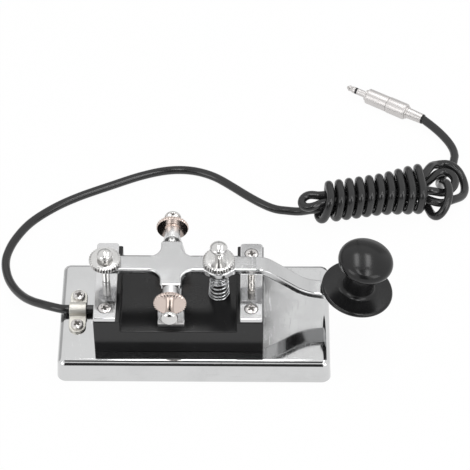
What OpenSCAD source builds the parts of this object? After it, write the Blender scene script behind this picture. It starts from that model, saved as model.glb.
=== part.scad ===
// Straight telegraph key on a pressed base, with its cord, wrapped hank and jack plug.
// Millimetres. Origin at the centre of the underside, X towards the knob, Y to the back, Z up.

/* [Base] */
// Length of the base pan
base_l = 134; // [124:1:170]
// Width of the base pan
base_w = 66; // [60:1:90]
// Height of the plate's top
base_h = 13.5; // [10:0.5:20]
// Plan radius of the pan's corners
base_corner = 6; // [5:0.5:10]
// Inward lean of the pan's walls
base_draft = 0.7; // [0.3:0.1:1.2]
// Radius of the shoulder between wall and plate
base_shoulder = 2; // [1.6:0.1:3]
// Sheet thickness
sheet_t = 1.2; // [0.8:0.1:1.4]
// Height of the pan's rim above the table
rim_lift = 0.3; // [0.2:0.1:0.8]
// Thickness of the pad that closes the pan
pad_t = 2; // [1:0.2:3]

/* [Terminal block] */
// Length of the block
block_l = 82; // [80:0.2:92]
// Width of the block
block_w = 49; // [46:0.5:58]
// Place of the block's middle along the base
block_x = -7.2; // [-9:0.2:-5]
// Height of the pedestals above the plate
pedestal_h = 22; // [20:0.5:25]
// Length of each pedestal
pedestal_l = 12.8; // [12.2:0.2:15]
// Height of the channel's floor above the plate
channel_h = 15; // [13:0.5:17]
// Wall thickness
block_wall = 3; // [2:0.2:4]
// Thickness of the channel's floor
block_roof = 4.5; // [3:0.5:6]
// Radius of the upright edges
block_edge = 1.2; // [0.5:0.1:2.5]

/* [Contact bars] */
// Width of the bars
bar_w = 10.8; // [9:0.2:11.2]
// Thickness of the bars
bar_t = 2.4; // [1.8:0.1:3]
// Distance from the block's rear end to the rear bar
rear_inset = 0.1; // [0.1:0.1:0.6]
// Distance from the block's front end to the front bar
front_inset = 0.5; // [0.1:0.1:1]
// Corner radius of the bars
bar_corner = 1.5; // [0.5:0.1:3]
// Distance between the screws of a bar
bar_span = 35; // [30:1:38]
// Diameter of the contact points
contact_d = 3.6; // [3:0.2:5]
// Length of the moving contact below the lever
contact_drop = 3; // [2:0.2:4]
// Gap between the contacts at rest
contact_gap = 0.9; // [0.4:0.1:1.4]

/* [Fasteners] */
// Diameter of the small screws
screw_d = 3; // [2.6:0.1:3.2]
// Diameter of the small screws' heads
head_d = 6.2; // [5:0.2:6.4]
// Height of the pan heads
head_h = 2; // [1.6:0.1:2.4]
// Width of the cross recess
recess_w = 0.8; // [0.6:0.1:1]
// Length of the screws that hold the block
block_screw_l = 8; // [6:0.5:9]
// Length of the bars' screws
bar_screw_l = 8; // [6:0.5:9]
// Length of the clamp's screws below the sheet
clamp_grip = 4; // [3:0.5:6]
// Radial play of screws and bores
play = 0.05; // [0.02:0.01:0.1]

/* [Yoke and pivots] */
// Place of the pivot along the base
pivot_x = -10.8; // [-13:0.2:-9]
// Height of the pivot above the channel's floor
pivot_h = 21; // [20:0.5:24]
// Width of the yoke's uprights at the foot
yoke_w = 13; // [11:0.5:14]
// Thickness of the uprights
yoke_t = 3.5; // [3:0.1:4.5]
// Thickness of the yoke's foot
foot_t = 2.5; // [2:0.1:3.5]
// Distance from the block's sides to the ends of the foot
foot_inset = 3; // [0.5:0.1:4]
// Width of the strap between the yoke's feet
strap_w = 9; // [7:0.2:10]
// Clear width between the uprights
yoke_gap = 31; // [30:0.5:34]
// Radius of the uprights' round top
yoke_top_r = 3.7; // [3.2:0.1:4.5]
// Distance between the yoke's screws
foot_span = 15; // [12:1:18]
// Half angle of the cone points
cone_angle = 30; // [25:1:35]
// Diameter of the pivot lock nuts
pivot_nut_d = 15.8; // [13:0.2:18]
// Diameter of the pivot screws' domed heads
pivot_dome_d = 8.2; // [6:0.2:9]
// Thickness of the pivot lock nuts' discs
pivot_nut_t = 2.3; // [1.8:0.1:3]
// Length of the front pivot screw's neck, from its nut to its head
front_neck = 6.2; // [1:0.1:10]
// Length of the back pivot screw's neck
back_neck = 3.6; // [1:0.1:10]

/* [Lever] */
// Thickness of the lever
lever_t = 3.6; // [3.2:0.1:4.4]
// Width of the lever
lever_w = 9.2; // [8:0.2:10]
// Width of the cross arms
arm_w = 10.4; // [9:0.2:12]
// Length over the cross arms
arm_span = 28.4; // [27:0.2:29]
// Fillet radius between lever and arms
arm_fillet = 6; // [3:0.5:8]
// Corner radius of the arms' ends
arm_corner = 1.4; // [0.5:0.1:2]
// Diameter of the eye round the tension screw
eye_d = 15.6; // [13:0.2:17]
// Angle of the lever's slope towards the knob
bend_angle = 40; // [30:1:45]
// Middle radius of the upper bend
bend_high_r = 11.2; // [9:0.2:16]
// Length of the straight slope
slope_l = 15.7; // [13:0.1:16.5]
// Middle radius of the lower bend
bend_low_r = 21.8; // [16:0.2:24]
// Distance from the lower bend to the knob
seat_l = 19.4; // [18:0.2:26]
// Forward tilt of the knob
knob_tilt = 9.5; // [4:0.5:12]

/* [Adjusting screws] */
// Thread diameter
adjust_d = 4; // [3.4:0.1:4.4]
// Thread pitch
adjust_pitch = 0.7; // [0.5:0.1:0.8]
// Diameter of the travel and tension lock nuts
nut_d = 15.6; // [12:0.2:17]
// Thickness of the travel and tension lock nuts
nut_t = 3.2; // [2:0.1:3.6]
// Width of the chamfer on the knurled discs' outer face
nut_chamfer = 1.3; // [0.6:0.1:1.8]
// Number of knurls on a disc
knurls = 48; // [24:2:60]
// Depth of the knurls
knurl_depth = 0.35; // [0.2:0.05:0.5]
// Diameter of the travel screw's domed head
travel_dome_d = 7.8; // [6:0.2:9]
// Length of the travel screw's neck, from its nut to its head
travel_neck = 0.8; // [0.5:0.1:4]
// Diameter of the tension screw's domed head
tension_dome_d = 8.4; // [7:0.2:10]
// Length of the tension screw's neck
tension_neck = 6; // [3:0.1:8]
// Height of the domed heads' edge below the dome's middle
dome_edge = 0.6; // [0.3:0.1:1.2]
// Thread left bare above a lock nut, so that the screw can be turned further in
bare_thread = 1.5; // [1.2:0.1:2]
// Gap between the travel screw and the rear bar at rest
stop_gap = 0.06; // [0.02:0.02:0.2]

/* [Return spring] */
// Gap between the spring and the front pedestal
spring_clear = 3.4; // [2:0.2:5]
// Wire diameter
wire_d = 0.9; // [0.7:0.05:1]
// Number of turns
spring_turns = 6; // [5:1:8]
// Outside diameter at the bottom
spring_low_d = 10.8; // [9.6:0.1:12]
// Outside diameter at the top
spring_top_d = 8.6; // [8:0.1:10]
// Distance from the lever's underside to the spring's top
spring_drop = 3.6; // [3:0.1:4.2]

/* [Knob] */
// Diameter of the finger skirt
skirt_d = 35.2; // [30:0.2:38]
// Thickness of the skirt
skirt_t = 2.4; // [1.6:0.1:2.6]
// Diameter of the neck
neck_d = 14.6; // [12:0.2:18]
// Radius of the neck's coves
neck_cove = 2.5; // [1.5:0.1:3.5]
// Diameter of the cap
cap_d = 27; // [24:0.2:32]
// Height of the cap's widest line above the skirt
cap_rise = 19.8; // [17:0.1:24]
// Radius of the cap's edge
cap_edge = 4; // [3:0.1:5]
// Height of the dome above the cap's widest line
dome_h = 6.3; // [5.5:0.1:8]
// Diameter of the boss under the skirt
boss_d = 14; // [11:0.2:16]
// Height of the boss under the skirt
boss_h = 0.6; // [0.4:0.1:2]

/* [Cord] */
// Diameter of the cord
cord_d = 4.4; // [4:0.1:4.6]
// Distance from the pan's rear end to the middle of the cord clamp
clamp_inset = 9.5; // [9:0.5:10]
// Width of the cord clamp
clamp_w = 8.4; // [7:0.2:9]
// Length of the cord clamp
clamp_l = 27; // [25:0.5:30]
// Thickness of the cord clamp
clamp_t = 1.2; // [0.8:0.1:1.6]
// Distance between the clamp's screws
clamp_span = 18.5; // [17:0.5:19]
// Corner radius of the clamp's ends
clamp_corner = 3.6; // [1:0.1:4]
// Length of cord inside the block
cord_inside = 5; // [3:0.5:8]
// Diameter of the inner wires
lead_wire_d = 1.4; // [1:0.1:1.8]

/* [Hank] */
// Number of wraps
wraps = 10; // [6:1:12]
// Distance between wraps
wrap_pitch = 5.3; // [5.2:0.1:5.8]
// Gap between neighbouring strands
strand_gap = 0.55; // [0.5:0.05:0.8]
// Radius of the outer loop
outer_loop_r = 13; // [12:0.2:15]
// Extra half width of the last wrap
wrap_flare = 3.6; // [3.5:0.1:5]

/* [Plug] */
// Diameter of the plug's barrel
barrel_d = 8.8; // [7.6:0.2:10]
// Length of the plug's barrel
barrel_l = 24; // [20:0.5:28]
// Diameter of the collar behind the barrel
collar_d = 5.9; // [5.4:0.1:7]
// Length of the collar
collar_l = 9.6; // [7:0.2:12]
// Diameter of the contact sleeve
sleeve_d = 3.5; // [3.4:0.05:3.6]
// Length of sleeve, ring and tip together
shaft_l = 12.5; // [11:0.5:15]

/* [Output] */
// Piece to show

/* [Hidden] */
$fn = 64;
chrome = [0.83, 0.84, 0.85];
nickel = [0.76, 0.76, 0.75];
copper = [0.78, 0.68, 0.58];
black = [0.09, 0.09, 0.10];
cord_grey = [0.20, 0.20, 0.21];
rubber = [0.15, 0.15, 0.15];
steel = [0.55, 0.55, 0.56];
red = [0.65, 0.12, 0.10];

// Heights
channel_z = base_h + channel_h;
pedestal_z = base_h + pedestal_h;
bar_z = pedestal_z + bar_t;
pivot_z = channel_z + pivot_h;
lever_top = pivot_z + lever_t / 2;
lever_low = pivot_z - lever_t / 2;
cavity_z = channel_z - block_roof;
cord_z = base_h + cord_d / 2 + play;

// Places along the base
rear_x = block_x - block_l / 2 + rear_inset + bar_w / 2;
front_x = block_x + block_l / 2 - front_inset - bar_w / 2;
spring_x = block_x + block_l / 2 - pedestal_l - spring_clear - spring_low_d / 2;
clamp_x = clamp_inset - base_l / 2;
boss_in = block_wall + screw_d;
bore_r = screw_d / 2 + play;
lug_t = 0.6;
lug_r = screw_d / 2 + 1.8;
lug_room = 0.3;
inner_nut_t = 2.2;
lug_z = cavity_z - lug_t;
nut_z = lug_z - inner_nut_t;

// Stem of the moving contact inside the lever
stem_l = lever_t * 0.7;

// Lever bends, as points of the middle line in the plane of X and Z
bend_x = front_x + contact_d / 2 + 0.4;
high_end = [bend_x + bend_high_r * sin(bend_angle), pivot_z - bend_high_r * (1 - cos(bend_angle))];
slope_end = high_end + slope_l * [cos(bend_angle), -sin(bend_angle)];
low_centre = slope_end + bend_low_r * [sin(bend_angle), cos(bend_angle)];
seat_start = low_centre - bend_low_r * [sin(knob_tilt), cos(knob_tilt)];
seat_mid = seat_start + seat_l * [cos(knob_tilt), -sin(knob_tilt)];

// Spring
spring_top = lever_low - spring_drop;
seat_t = 1.2;
tip_z = spring_top + seat_t + play;

// Pivot cones
cone_tip = arm_span / 2 - 2.3;
shank_y = arm_span / 2 + 0.7;
yoke_out = yoke_gap / 2 + yoke_t + 3.2;
hub_t = 0.9;

// Cord heights on the table
strand = cord_d + strand_gap;
wrap_slack = 0.15;
half_strand = strand / 2;
z_table = cord_d / 2 + 0.1;
z_low = z_table + strand + wrap_slack;
z_high = z_low + strand;

// Small helpers
function ease(x) = let(c = max(0, min(1, x))) c * c * (3 - 2 * c);
function mix(a, b, t) = a + (b - a) * t;
function unit(v) = v / norm(v);
function power_sign(x, e) = sign(x) * pow(abs(x), e);

// Curve through guide points, with the tangent at each point set by its neighbours
function guide(p, i) = p[max(0, min(len(p) - 1, i))];
function spline_at(p, i, t) = 0.5 * (2 * p[i] + (guide(p, i + 1) - guide(p, i - 1)) * t
    + (2 * guide(p, i - 1) - 5 * p[i] + 4 * guide(p, i + 1) - guide(p, i + 2)) * t * t
    + (3 * p[i] - guide(p, i - 1) - 3 * guide(p, i + 1) + guide(p, i + 2)) * t * t * t);
function spline(p, steps) = concat(
    [for (i = [0:len(p) - 2]) for (k = [0:steps - 1]) spline_at(p, i, k / steps)],
    [p[len(p) - 1]]
);
function soften(p) = [
    for (i = [0:len(p) - 1])
        i < 2 || i > len(p) - 3 ? p[i] : (p[i - 1] + 2 * p[i] + p[i + 1]) / 4
];

// Tube swept along a list of points, closed at both ends
function tangents(p) = [
    for (i = [0:len(p) - 1]) unit(p[min(i + 1, len(p) - 1)] - p[max(i - 1, 0)])
];
function square_to(n, t) = unit(n - (n * t) * t);
function first_normal(t) = square_to(abs(t.z) > 0.8 ? [1, 0, 0] : [0, 0, 1], t);
function normals(t) = [
    for (i = 0, n = first_normal(t[0]); i < len(t); n = square_to(n, t[min(i + 1, len(t) - 1)]), i = i + 1) n
];
function run_length(p) = len(p) < 2 ? [0] : [
    for (i = 0, s = 0; i < len(p); s = s + norm(p[min(i + 1, len(p) - 1)] - p[i]), i = i + 1) s
];
function path_length(p) = run_length(p)[len(p) - 1];
function least_gap(p, d, apart) = let(s = run_length(p)) min([
    for (i = [0:len(p) - 1]) for (j = [i + 1:1:len(p) - 1]) if (s[j] - s[i] > apart) norm(p[i] - p[j])
]) - d;

module tube(p, d, sides) {
    t = tangents(p);
    n = normals(t);
    last = (len(p) - 1) * sides;
    rings = [
        for (i = [0:len(p) - 1]) for (k = [0:sides - 1])
            p[i] + d / 2 * (cos(360 * k / sides) * n[i] + sin(360 * k / sides) * cross(t[i], n[i]))
    ];
    walls = [
        for (i = [0:len(p) - 2]) for (k = [0:sides - 1])
            let(a = i * sides + k, b = i * sides + (k + 1) % sides)
            each [[a, a + sides, b], [b, a + sides, b + sides]]
    ];
    ends = [for (k = [1:sides - 2]) each [[0, k, k + 1], [last, last + k + 1, last + k]]];
    polyhedron(points = rings, faces = concat(walls, ends), convexity = 10);
}

module rounded(l, w, r) {
    square([l - 2 * r, w], center = true);
    square([l, w - 2 * r], center = true);
    for (x = [-1, 1])
        for (y = [-1, 1])
            translate([x * (l / 2 - r), y * (w / 2 - r)]) circle(r);
}

// Half section of a pressed wall: leaning side, round shoulder, flat top
module wall_section(half, low, high, shoulder) {
    inset = half - base_draft - shoulder;
    polygon([[0, low], [half, low], [half - base_draft, high - shoulder], [0, high - shoulder]]);
    translate([0, low]) square([inset, high - low]);
    translate([inset, high - shoulder]) circle(shoulder);
}

module across(half, low, high, shoulder) {
    wall_section(half, low, high, shoulder);
    mirror([1, 0]) wall_section(half, low, high, shoulder);
}

module pressed_box(l, w, low, high, corner, shoulder) {
    rotate([90, 0, 0])
        linear_extrude(w - 2 * corner, center = true) across(l / 2, low, high, shoulder);
    rotate([90, 0, 90])
        linear_extrude(l - 2 * corner, center = true) across(w / 2, low, high, shoulder);
    for (x = [-1, 1])
        for (y = [-1, 1])
            translate([x * (l / 2 - corner), y * (w / 2 - corner), 0])
                rotate_extrude() intersection() {
                    wall_section(corner, low, high, shoulder);
                    translate([0, low]) square([corner, high - low]);
                }
}

module at_pairs(x, y) {
    for (i = [-1, 1])
        for (j = [-1, 1])
            translate([i * x, j * y, 0]) children();
}

module cross_recess(d) {
    for (a = [0, 90])
        rotate(a) translate([0, 0, -0.9]) linear_extrude(1.5) square([d, recess_w], center = true);
}

// Pan head screw, head resting on the plane of its origin
module pan_screw(shank) {
    difference() {
        union() {
            translate([0, 0, -shank]) cylinder(h = shank, d = screw_d);
            intersection() {
                cylinder(h = head_h, d = head_d);
                translate([0, 0, head_h - head_d]) sphere(head_d);
            }
        }
        translate([0, 0, head_h]) cross_recess(head_d * 0.55);
    }
}

// Countersunk screw, head flush with the plane of its origin
module flat_screw(shank) {
    sink = (head_d - screw_d) / 2;
    difference() {
        union() {
            translate([0, 0, -shank]) cylinder(h = shank, d = screw_d);
            translate([0, 0, -sink]) cylinder(h = sink, d1 = screw_d, d2 = head_d);
        }
        cross_recess(head_d * 0.6);
    }
}

module flat_hole(depth) {
    sink = (head_d - screw_d) / 2;
    translate([0, 0, -depth]) cylinder(h = depth + 1, r = bore_r);
    translate([0, 0, -sink]) cylinder(h = sink, r1 = bore_r, r2 = head_d / 2 + play);
}

// Knurled disc on the plane of its origin, with a small chamfer below and a wide one above
module knurled(d, t, bore) {
    edge = 0.45;
    spare = 0.1;
    fall = 0.58;
    far = d / 2 + spare;
    tooth = 180 / knurls;
    difference() {
        intersection() {
            linear_extrude(t) polygon([
                for (i = [0:2 * knurls - 1])
                    (d / 2 - (i % 2) * knurl_depth) * [cos(i * tooth), sin(i * tooth)]
            ]);
            rotate_extrude() polygon([
                [0, 0], [d / 2 - edge, 0], [far, edge + spare],
                [far, t - fall * (nut_chamfer + spare)], [d / 2 - nut_chamfer, t], [0, t]
            ]);
        }
        translate([0, 0, -1]) cylinder(h = t + 2, r = bore / 2 + play);
    }
}

// Domed head, cut flat just below its middle, on a neck that flares up from the bare thread above the nut
module dome_head(d, nut_end, neck) {
    bare = min(bare_thread, neck / 2);
    translate([0, 0, nut_end + neck + dome_edge]) rotate_extrude() intersection() {
        circle(d / 2);
        translate([0, -dome_edge]) square(d);
    }
    translate([0, 0, nut_end + bare]) cylinder(h = neck + 0.2 - bare, d1 = adjust_d, d2 = d * 0.8);
}

// Screw with a domed head; the thread runs down from the plane of its origin to a chamfer of one pitch
module dome_screw(dome_d, neck, thread_l) {
    translate([0, 0, -thread_l]) cylinder(h = adjust_pitch, d1 = adjust_d - adjust_pitch, d2 = adjust_d);
    translate([0, 0, adjust_pitch - thread_l])
        cylinder(h = thread_l - adjust_pitch + nut_t + play + neck, d = adjust_d);
    dome_head(dome_d, nut_t + play, neck);
}

module base_pan() {
    color(chrome) difference() {
        pressed_box(base_l, base_w, rim_lift, base_h, base_corner, base_shoulder);
        pressed_box(
            base_l - 2 * sheet_t, base_w - 2 * sheet_t, rim_lift - 1, base_h - sheet_t,
            base_corner - sheet_t, base_shoulder - sheet_t
        );
        translate([block_x, 0, 0]) at_pairs(block_l / 2 - boss_in, block_w / 2 - boss_in)
            cylinder(h = base_h + 1, r = bore_r);
        for (y = [-1, 1])
            translate([clamp_x, y * clamp_span / 2, 0]) cylinder(h = base_h + 1, r = bore_r);
    }
}

module base_pad() {
    inset = sheet_t + 0.3;
    color(rubber) linear_extrude(pad_t)
        rounded(base_l - 2 * inset, base_w - 2 * inset, base_corner - inset);
}

module block_outline() {
    half = block_l / 2;
    polygon([
        [-half, base_h], [half, base_h], [half, pedestal_z], [half - pedestal_l, pedestal_z],
        [half - pedestal_l, channel_z], [pedestal_l - half, channel_z], [pedestal_l - half, pedestal_z],
        [-half, pedestal_z]
    ]);
}

module terminal_block() {
    pilot = pedestal_h - block_roof;
    color(black) difference() {
        intersection() {
            translate([block_x, 0, 0]) rotate([90, 0, 0])
                linear_extrude(block_w + 2, center = true) block_outline();
            translate([block_x, 0, 0]) linear_extrude(pedestal_z + 1) rounded(block_l, block_w, block_edge);
        }
        translate([front_x, 0, base_h - 1]) cylinder(h = cavity_z - base_h + 1, r = lug_r + lug_room);
        difference() {
            translate([block_x - block_l / 2 + block_wall, block_wall - block_w / 2, base_h - 1])
                cube([block_l - 2 * block_wall, block_w - 2 * block_wall, cavity_z - base_h + 1]);
            translate([block_x, 0, 0]) at_pairs(block_l / 2 - boss_in, block_w / 2 - boss_in)
                cylinder(h = pedestal_z, d = screw_d + 4);
        }
        translate([block_x, 0, base_h - 1]) at_pairs(block_l / 2 - boss_in, block_w / 2 - boss_in)
            cylinder(h = block_screw_l + 2, r = bore_r);
        for (x = [rear_x, front_x])
            for (y = [-1, 1])
                translate([x, y * bar_span / 2, bar_z - bar_screw_l - 1])
                    cylinder(h = bar_screw_l + 2, r = bore_r);
        translate([front_x, 0, base_h + 1]) cylinder(h = pilot + block_roof, r = bore_r);
        for (y = [-1, 1])
            translate([pivot_x, y * foot_span / 2, cavity_z - 1]) cylinder(h = block_roof + 2, r = bore_r);
        translate([block_x - block_l / 2 - 1, 0, cord_z]) rotate([0, 90, 0])
            cylinder(h = block_wall + 2, r = cord_d / 2 + play);
        translate([block_x - block_l / 2 - 1, -cord_d / 2 - play, base_h - 1])
            cube([block_wall + 2, cord_d + 2 * play, cord_z - base_h + 1]);
    }
}

module block_screws() {
    color(steel) translate([block_x, 0, base_h - sheet_t])
        at_pairs(block_l / 2 - boss_in, block_w / 2 - boss_in) mirror([0, 0, 1]) pan_screw(block_screw_l);
}

module contact_bar(x) {
    difference() {
        translate([x, 0, pedestal_z]) linear_extrude(bar_t) rounded(bar_w, block_w - 0.6, bar_corner);
        for (y = [-1, 1])
            translate([x, y * bar_span / 2, bar_z]) flat_hole(bar_t + 1);
    }
}

module rear_bar() {
    color(chrome) contact_bar(rear_x);
}

module front_bar() {
    color(chrome) difference() {
        contact_bar(front_x);
        translate([front_x, 0, pedestal_z - 1]) cylinder(h = bar_t + 2, r = bore_r);
    }
}

module bar_screws() {
    color(nickel)
        for (x = [rear_x, front_x])
            for (y = [-1, 1])
                translate([x, y * bar_span / 2, bar_z]) flat_screw(bar_screw_l);
}

module contact_post() {
    top = lever_low - contact_drop - contact_gap;
    color(copper) translate([front_x, 0, 0]) {
        translate([0, 0, nut_z - 1]) cylinder(h = bar_z - nut_z + 1, d = screw_d);
        translate([0, 0, bar_z]) cylinder(h = top - bar_z, d = contact_d);
    }
}

// Ring lug with a tongue that points at the wires
module lug(turn) {
    difference() {
        linear_extrude(lug_t) {
            circle(lug_r);
            rotate(turn) translate([0, -1.2]) square([lug_r + 4, 2.4]);
        }
        translate([0, 0, -1]) cylinder(h = lug_t + 2, r = bore_r);
    }
}

module terminal_lugs() {
    color(copper) {
        translate([front_x, 0, lug_z]) lug(180);
        translate([pivot_x, foot_span / 2, lug_z]) lug(180);
    }
}

module inner_nut() {
    difference() {
        cylinder(h = inner_nut_t, d = screw_d * 2.1, $fn = 6);
        translate([0, 0, -1]) cylinder(h = inner_nut_t + 2, r = bore_r);
    }
}

module terminal_nuts() {
    color(steel) {
        translate([front_x, 0, nut_z]) inner_nut();
        translate([pivot_x, foot_span / 2, nut_z]) inner_nut();
    }
}

// Where the cord ends inside the block
core_x = block_x - block_l / 2 + block_wall + cord_inside;
lug_tip_z = lug_z - lead_wire_d / 2 - lug_room;
wire_z = cord_z + lead_wire_d;

module signal_wire() {
    goal = front_x - lug_r - 3.2;
    color(red) tube(spline([
        [core_x, -1.1, cord_z], [core_x + 4, -1.6, cord_z], [mix(core_x, goal, 0.33), -1.1 * cord_d, wire_z],
        [mix(core_x, goal, 0.6), -1.3 * cord_d, wire_z], [goal - 8, -2, mix(cord_z, lug_tip_z, 0.5)],
        [goal - 3, 0, lug_tip_z], [goal, 0, lug_tip_z]
    ], 4), lead_wire_d, 8);
}

module ground_wire() {
    goal = pivot_x - lug_r - 3.2;
    rise = foot_span / 2;
    color(black) tube(spline([
        [core_x, 1.1, cord_z], [core_x + 4, 1.6, cord_z], [goal - 9, rise - 3, wire_z],
        [goal - 3, rise, lug_tip_z], [goal, rise, lug_tip_z]
    ], 4), lead_wire_d, 8);
}

// Upright with straight sides up to its corners, then sides that touch the round top
module upright() {
    half = yoke_w / 2;
    side = pivot_h * 0.35;
    corner = [half, side - pivot_h];
    lean = atan2(corner.y, corner.x) + acos(yoke_top_r / norm(corner));
    touch = [yoke_top_r * cos(lean), pivot_h + yoke_top_r * sin(lean)];
    polygon([[-half, 0], [half, 0], [half, side], touch, [-touch.x, touch.y], [-half, side]]);
    translate([0, pivot_h]) circle(yoke_top_r);
}

module pivot_yoke() {
    color(chrome) translate([pivot_x, 0, channel_z]) difference() {
        union() {
            translate([-strap_w / 2, -yoke_gap / 2 - 1, 0]) cube([strap_w, yoke_gap + 2, foot_t]);
            for (s = [0, 1])
                mirror([0, s, 0]) {
                    translate([-yoke_w / 2, foot_inset - block_w / 2, 0])
                        cube([yoke_w, (block_w - yoke_gap) / 2 - foot_inset, foot_t]);
                    translate([0, -yoke_gap / 2, 0]) rotate([90, 0, 0]) linear_extrude(yoke_t) upright();
                    translate([0, -yoke_gap / 2, pivot_h]) rotate([90, 0, 0])
                        cylinder(h = yoke_out - yoke_gap / 2, r = yoke_top_r);
                }
        }
        translate([0, 0, pivot_h]) rotate([90, 0, 0])
            cylinder(h = 2 * yoke_out + 2, r = adjust_d / 2 + play, center = true);
        for (y = [-1, 1])
            translate([0, y * foot_span / 2, -1]) cylinder(h = foot_t + 2, r = bore_r);
    }
}

module yoke_screws() {
    shank = channel_z + foot_t - nut_z + 1;
    color(nickel) translate([pivot_x, 0, channel_z + foot_t]) {
        translate([0, foot_span / 2, 0]) pan_screw(shank);
        translate([0, -foot_span / 2, 0]) pan_screw(foot_t + block_roof);
    }
}

// Pivot screw, as it stands in front: cone point inwards, domed head outwards
module pivot_screw(neck) {
    cone_l = shank_y - cone_tip;
    nut_end = yoke_out + play + hub_t + pivot_nut_t;
    color(nickel) translate([pivot_x, 0, pivot_z]) rotate([90, 0, 0]) {
        translate([0, 0, cone_tip]) cylinder(h = cone_l, r1 = 0, r2 = cone_l * tan(cone_angle));
        translate([0, 0, shank_y]) cylinder(h = nut_end + neck - shank_y, d = adjust_d);
        dome_head(pivot_dome_d, nut_end, neck);
    }
}

module pivot_nut() {
    color(copper) translate([pivot_x, 0, pivot_z]) rotate([90, 0, 0]) {
        translate([0, 0, yoke_out + play]) difference() {
            cylinder(h = hub_t, r = yoke_top_r);
            translate([0, 0, -1]) cylinder(h = hub_t + 2, r = adjust_d / 2 + play);
        }
        translate([0, 0, yoke_out + play + hub_t]) knurled(pivot_nut_d, pivot_nut_t, adjust_d);
    }
}

module pivot_screw_front() {
    pivot_screw(front_neck);
}

module pivot_screw_back() {
    mirror([0, 1, 0]) pivot_screw(back_neck);
}

module pivot_nut_front() {
    pivot_nut();
}

module pivot_nut_back() {
    mirror([0, 1, 0]) pivot_nut();
}

// Bend between two directions less than 80 degrees apart: the metal thins a little in bending, and each end
// laps into the straight piece beside it
module bend_section(r, from, to) {
    lap = 1.5;
    thin = 0.02;
    far = r + lever_t;
    start = from - lap;
    end = to + lap;
    middle = (from + to) / 2;
    intersection() {
        difference() {
            circle(r + lever_t / 2 - thin);
            circle(r - lever_t / 2 + thin);
        }
        polygon([
            [0, 0], far * [cos(start), sin(start)], 1.3 * far * [cos(middle), sin(middle)],
            far * [cos(end), sin(end)]
        ]);
    }
}

module lever_section() {
    flat_start = rear_x - lever_w;
    translate([flat_start, lever_low]) square([bend_x - flat_start, lever_t]);
    translate([bend_x, pivot_z - bend_high_r]) bend_section(bend_high_r, 90 - bend_angle, 90);
    translate(high_end) rotate(-bend_angle) translate([0, -lever_t / 2]) square([slope_l, lever_t]);
    translate(low_centre) bend_section(bend_low_r, 270 - bend_angle, 270 - knob_tilt);
    translate(seat_start) rotate(-knob_tilt) translate([0, -lever_t / 2]) square([seat_l + lever_w, lever_t]);
}

module lever_plan() {
    translate([rear_x, -lever_w / 2]) square([seat_mid.x - rear_x, lever_w]);
    translate([rear_x, 0]) circle(d = lever_w);
    translate([seat_mid.x, 0]) circle(d = lever_w);
    translate([spring_x, 0]) circle(d = eye_d);
    translate([pivot_x, 0]) rounded(arm_w, arm_span, arm_corner);
    for (x = [-1, 1])
        for (y = [-1, 1])
            translate([pivot_x + x * arm_w / 2, y * lever_w / 2]) scale([x, y]) difference() {
                square(arm_fillet);
                translate([arm_fillet, arm_fillet]) circle(arm_fillet);
            }
}

module at_knob() {
    rise = lever_t / 2;
    translate([seat_mid.x + rise * sin(knob_tilt), 0, seat_mid.y + rise * cos(knob_tilt)])
        rotate([0, knob_tilt, 0]) children();
}

module lever() {
    seat_l_in = arm_span / 2 - cone_tip + 0.16;
    color(chrome) difference() {
        intersection() {
            rotate([90, 0, 0]) linear_extrude(arm_span + 2, center = true) lever_section();
            linear_extrude(lever_top + 1) lever_plan();
        }
        for (x = [rear_x, spring_x])
            translate([x, 0, lever_low - 1]) cylinder(h = lever_t + 2, r = adjust_d / 2 + play);
        translate([front_x, 0, lever_low - 1]) cylinder(h = stem_l + play + 1, r = contact_d / 3 + play);
        for (s = [0, 1])
            mirror([0, s, 0]) translate([pivot_x, 0, pivot_z]) rotate([90, 0, 0])
                translate([0, 0, arm_span / 2 - seat_l_in])
                    cylinder(h = seat_l_in + 1, r1 = 0, r2 = (seat_l_in + 1) * tan(cone_angle));
        at_knob() translate([0, 0, -lever_t - 1]) cylinder(h = lever_t + 2, r = bore_r);
    }
}

module lever_contact() {
    color(copper) translate([front_x, 0, 0]) {
        translate([0, 0, lever_low - contact_drop]) cylinder(h = contact_drop, d = contact_d);
        translate([0, 0, lever_low]) cylinder(h = stem_l, r = contact_d / 3);
    }
}

// Half section of the knob: skirt with rolled edge, coved neck, undercut cap and dome
module knob_section() {
    low = boss_h;
    top = low + skirt_t;
    wide = top + cap_rise;
    neck_r = neck_d / 2;
    cap_r = cap_d / 2;
    rim_r = cap_r - cap_edge;
    dome_r = (pow(rim_r, 2) + pow(dome_h, 2) - pow(cap_edge, 2)) / (2 * (dome_h - cap_edge));
    under = wide - cap_edge;
    square([boss_d / 2, low]);
    translate([0, low]) square([skirt_d / 2 - skirt_t / 2, skirt_t]);
    translate([skirt_d / 2 - skirt_t / 2, low + skirt_t / 2]) circle(skirt_t / 2);
    translate([0, low]) square([neck_r, wide - low]);
    translate([neck_r, top]) difference() {
        square(neck_cove);
        translate([neck_cove, neck_cove]) circle(neck_cove);
    }
    translate([neck_r, under - neck_cove]) difference() {
        square(neck_cove);
        translate([neck_cove, 0]) circle(neck_cove);
    }
    translate([0, under]) square([rim_r, cap_edge]);
    translate([rim_r, wide]) circle(cap_edge);
    intersection() {
        translate([0, wide + dome_h - dome_r]) circle(dome_r);
        translate([0, wide]) square([rim_r + cap_edge * 0.6, dome_h]);
    }
}

module knob() {
    color(black) at_knob() difference() {
        rotate_extrude() intersection() {
            knob_section();
            square([skirt_d, boss_h + skirt_t + cap_rise + dome_h]);
        }
        translate([0, 0, -1]) cylinder(h = skirt_t + cap_rise * 0.6, r = bore_r);
    }
}

module knob_screw() {
    color(steel) at_knob() translate([0, 0, -lever_t]) mirror([0, 0, 1]) pan_screw(lever_t + cap_rise * 0.5);
}

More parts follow.
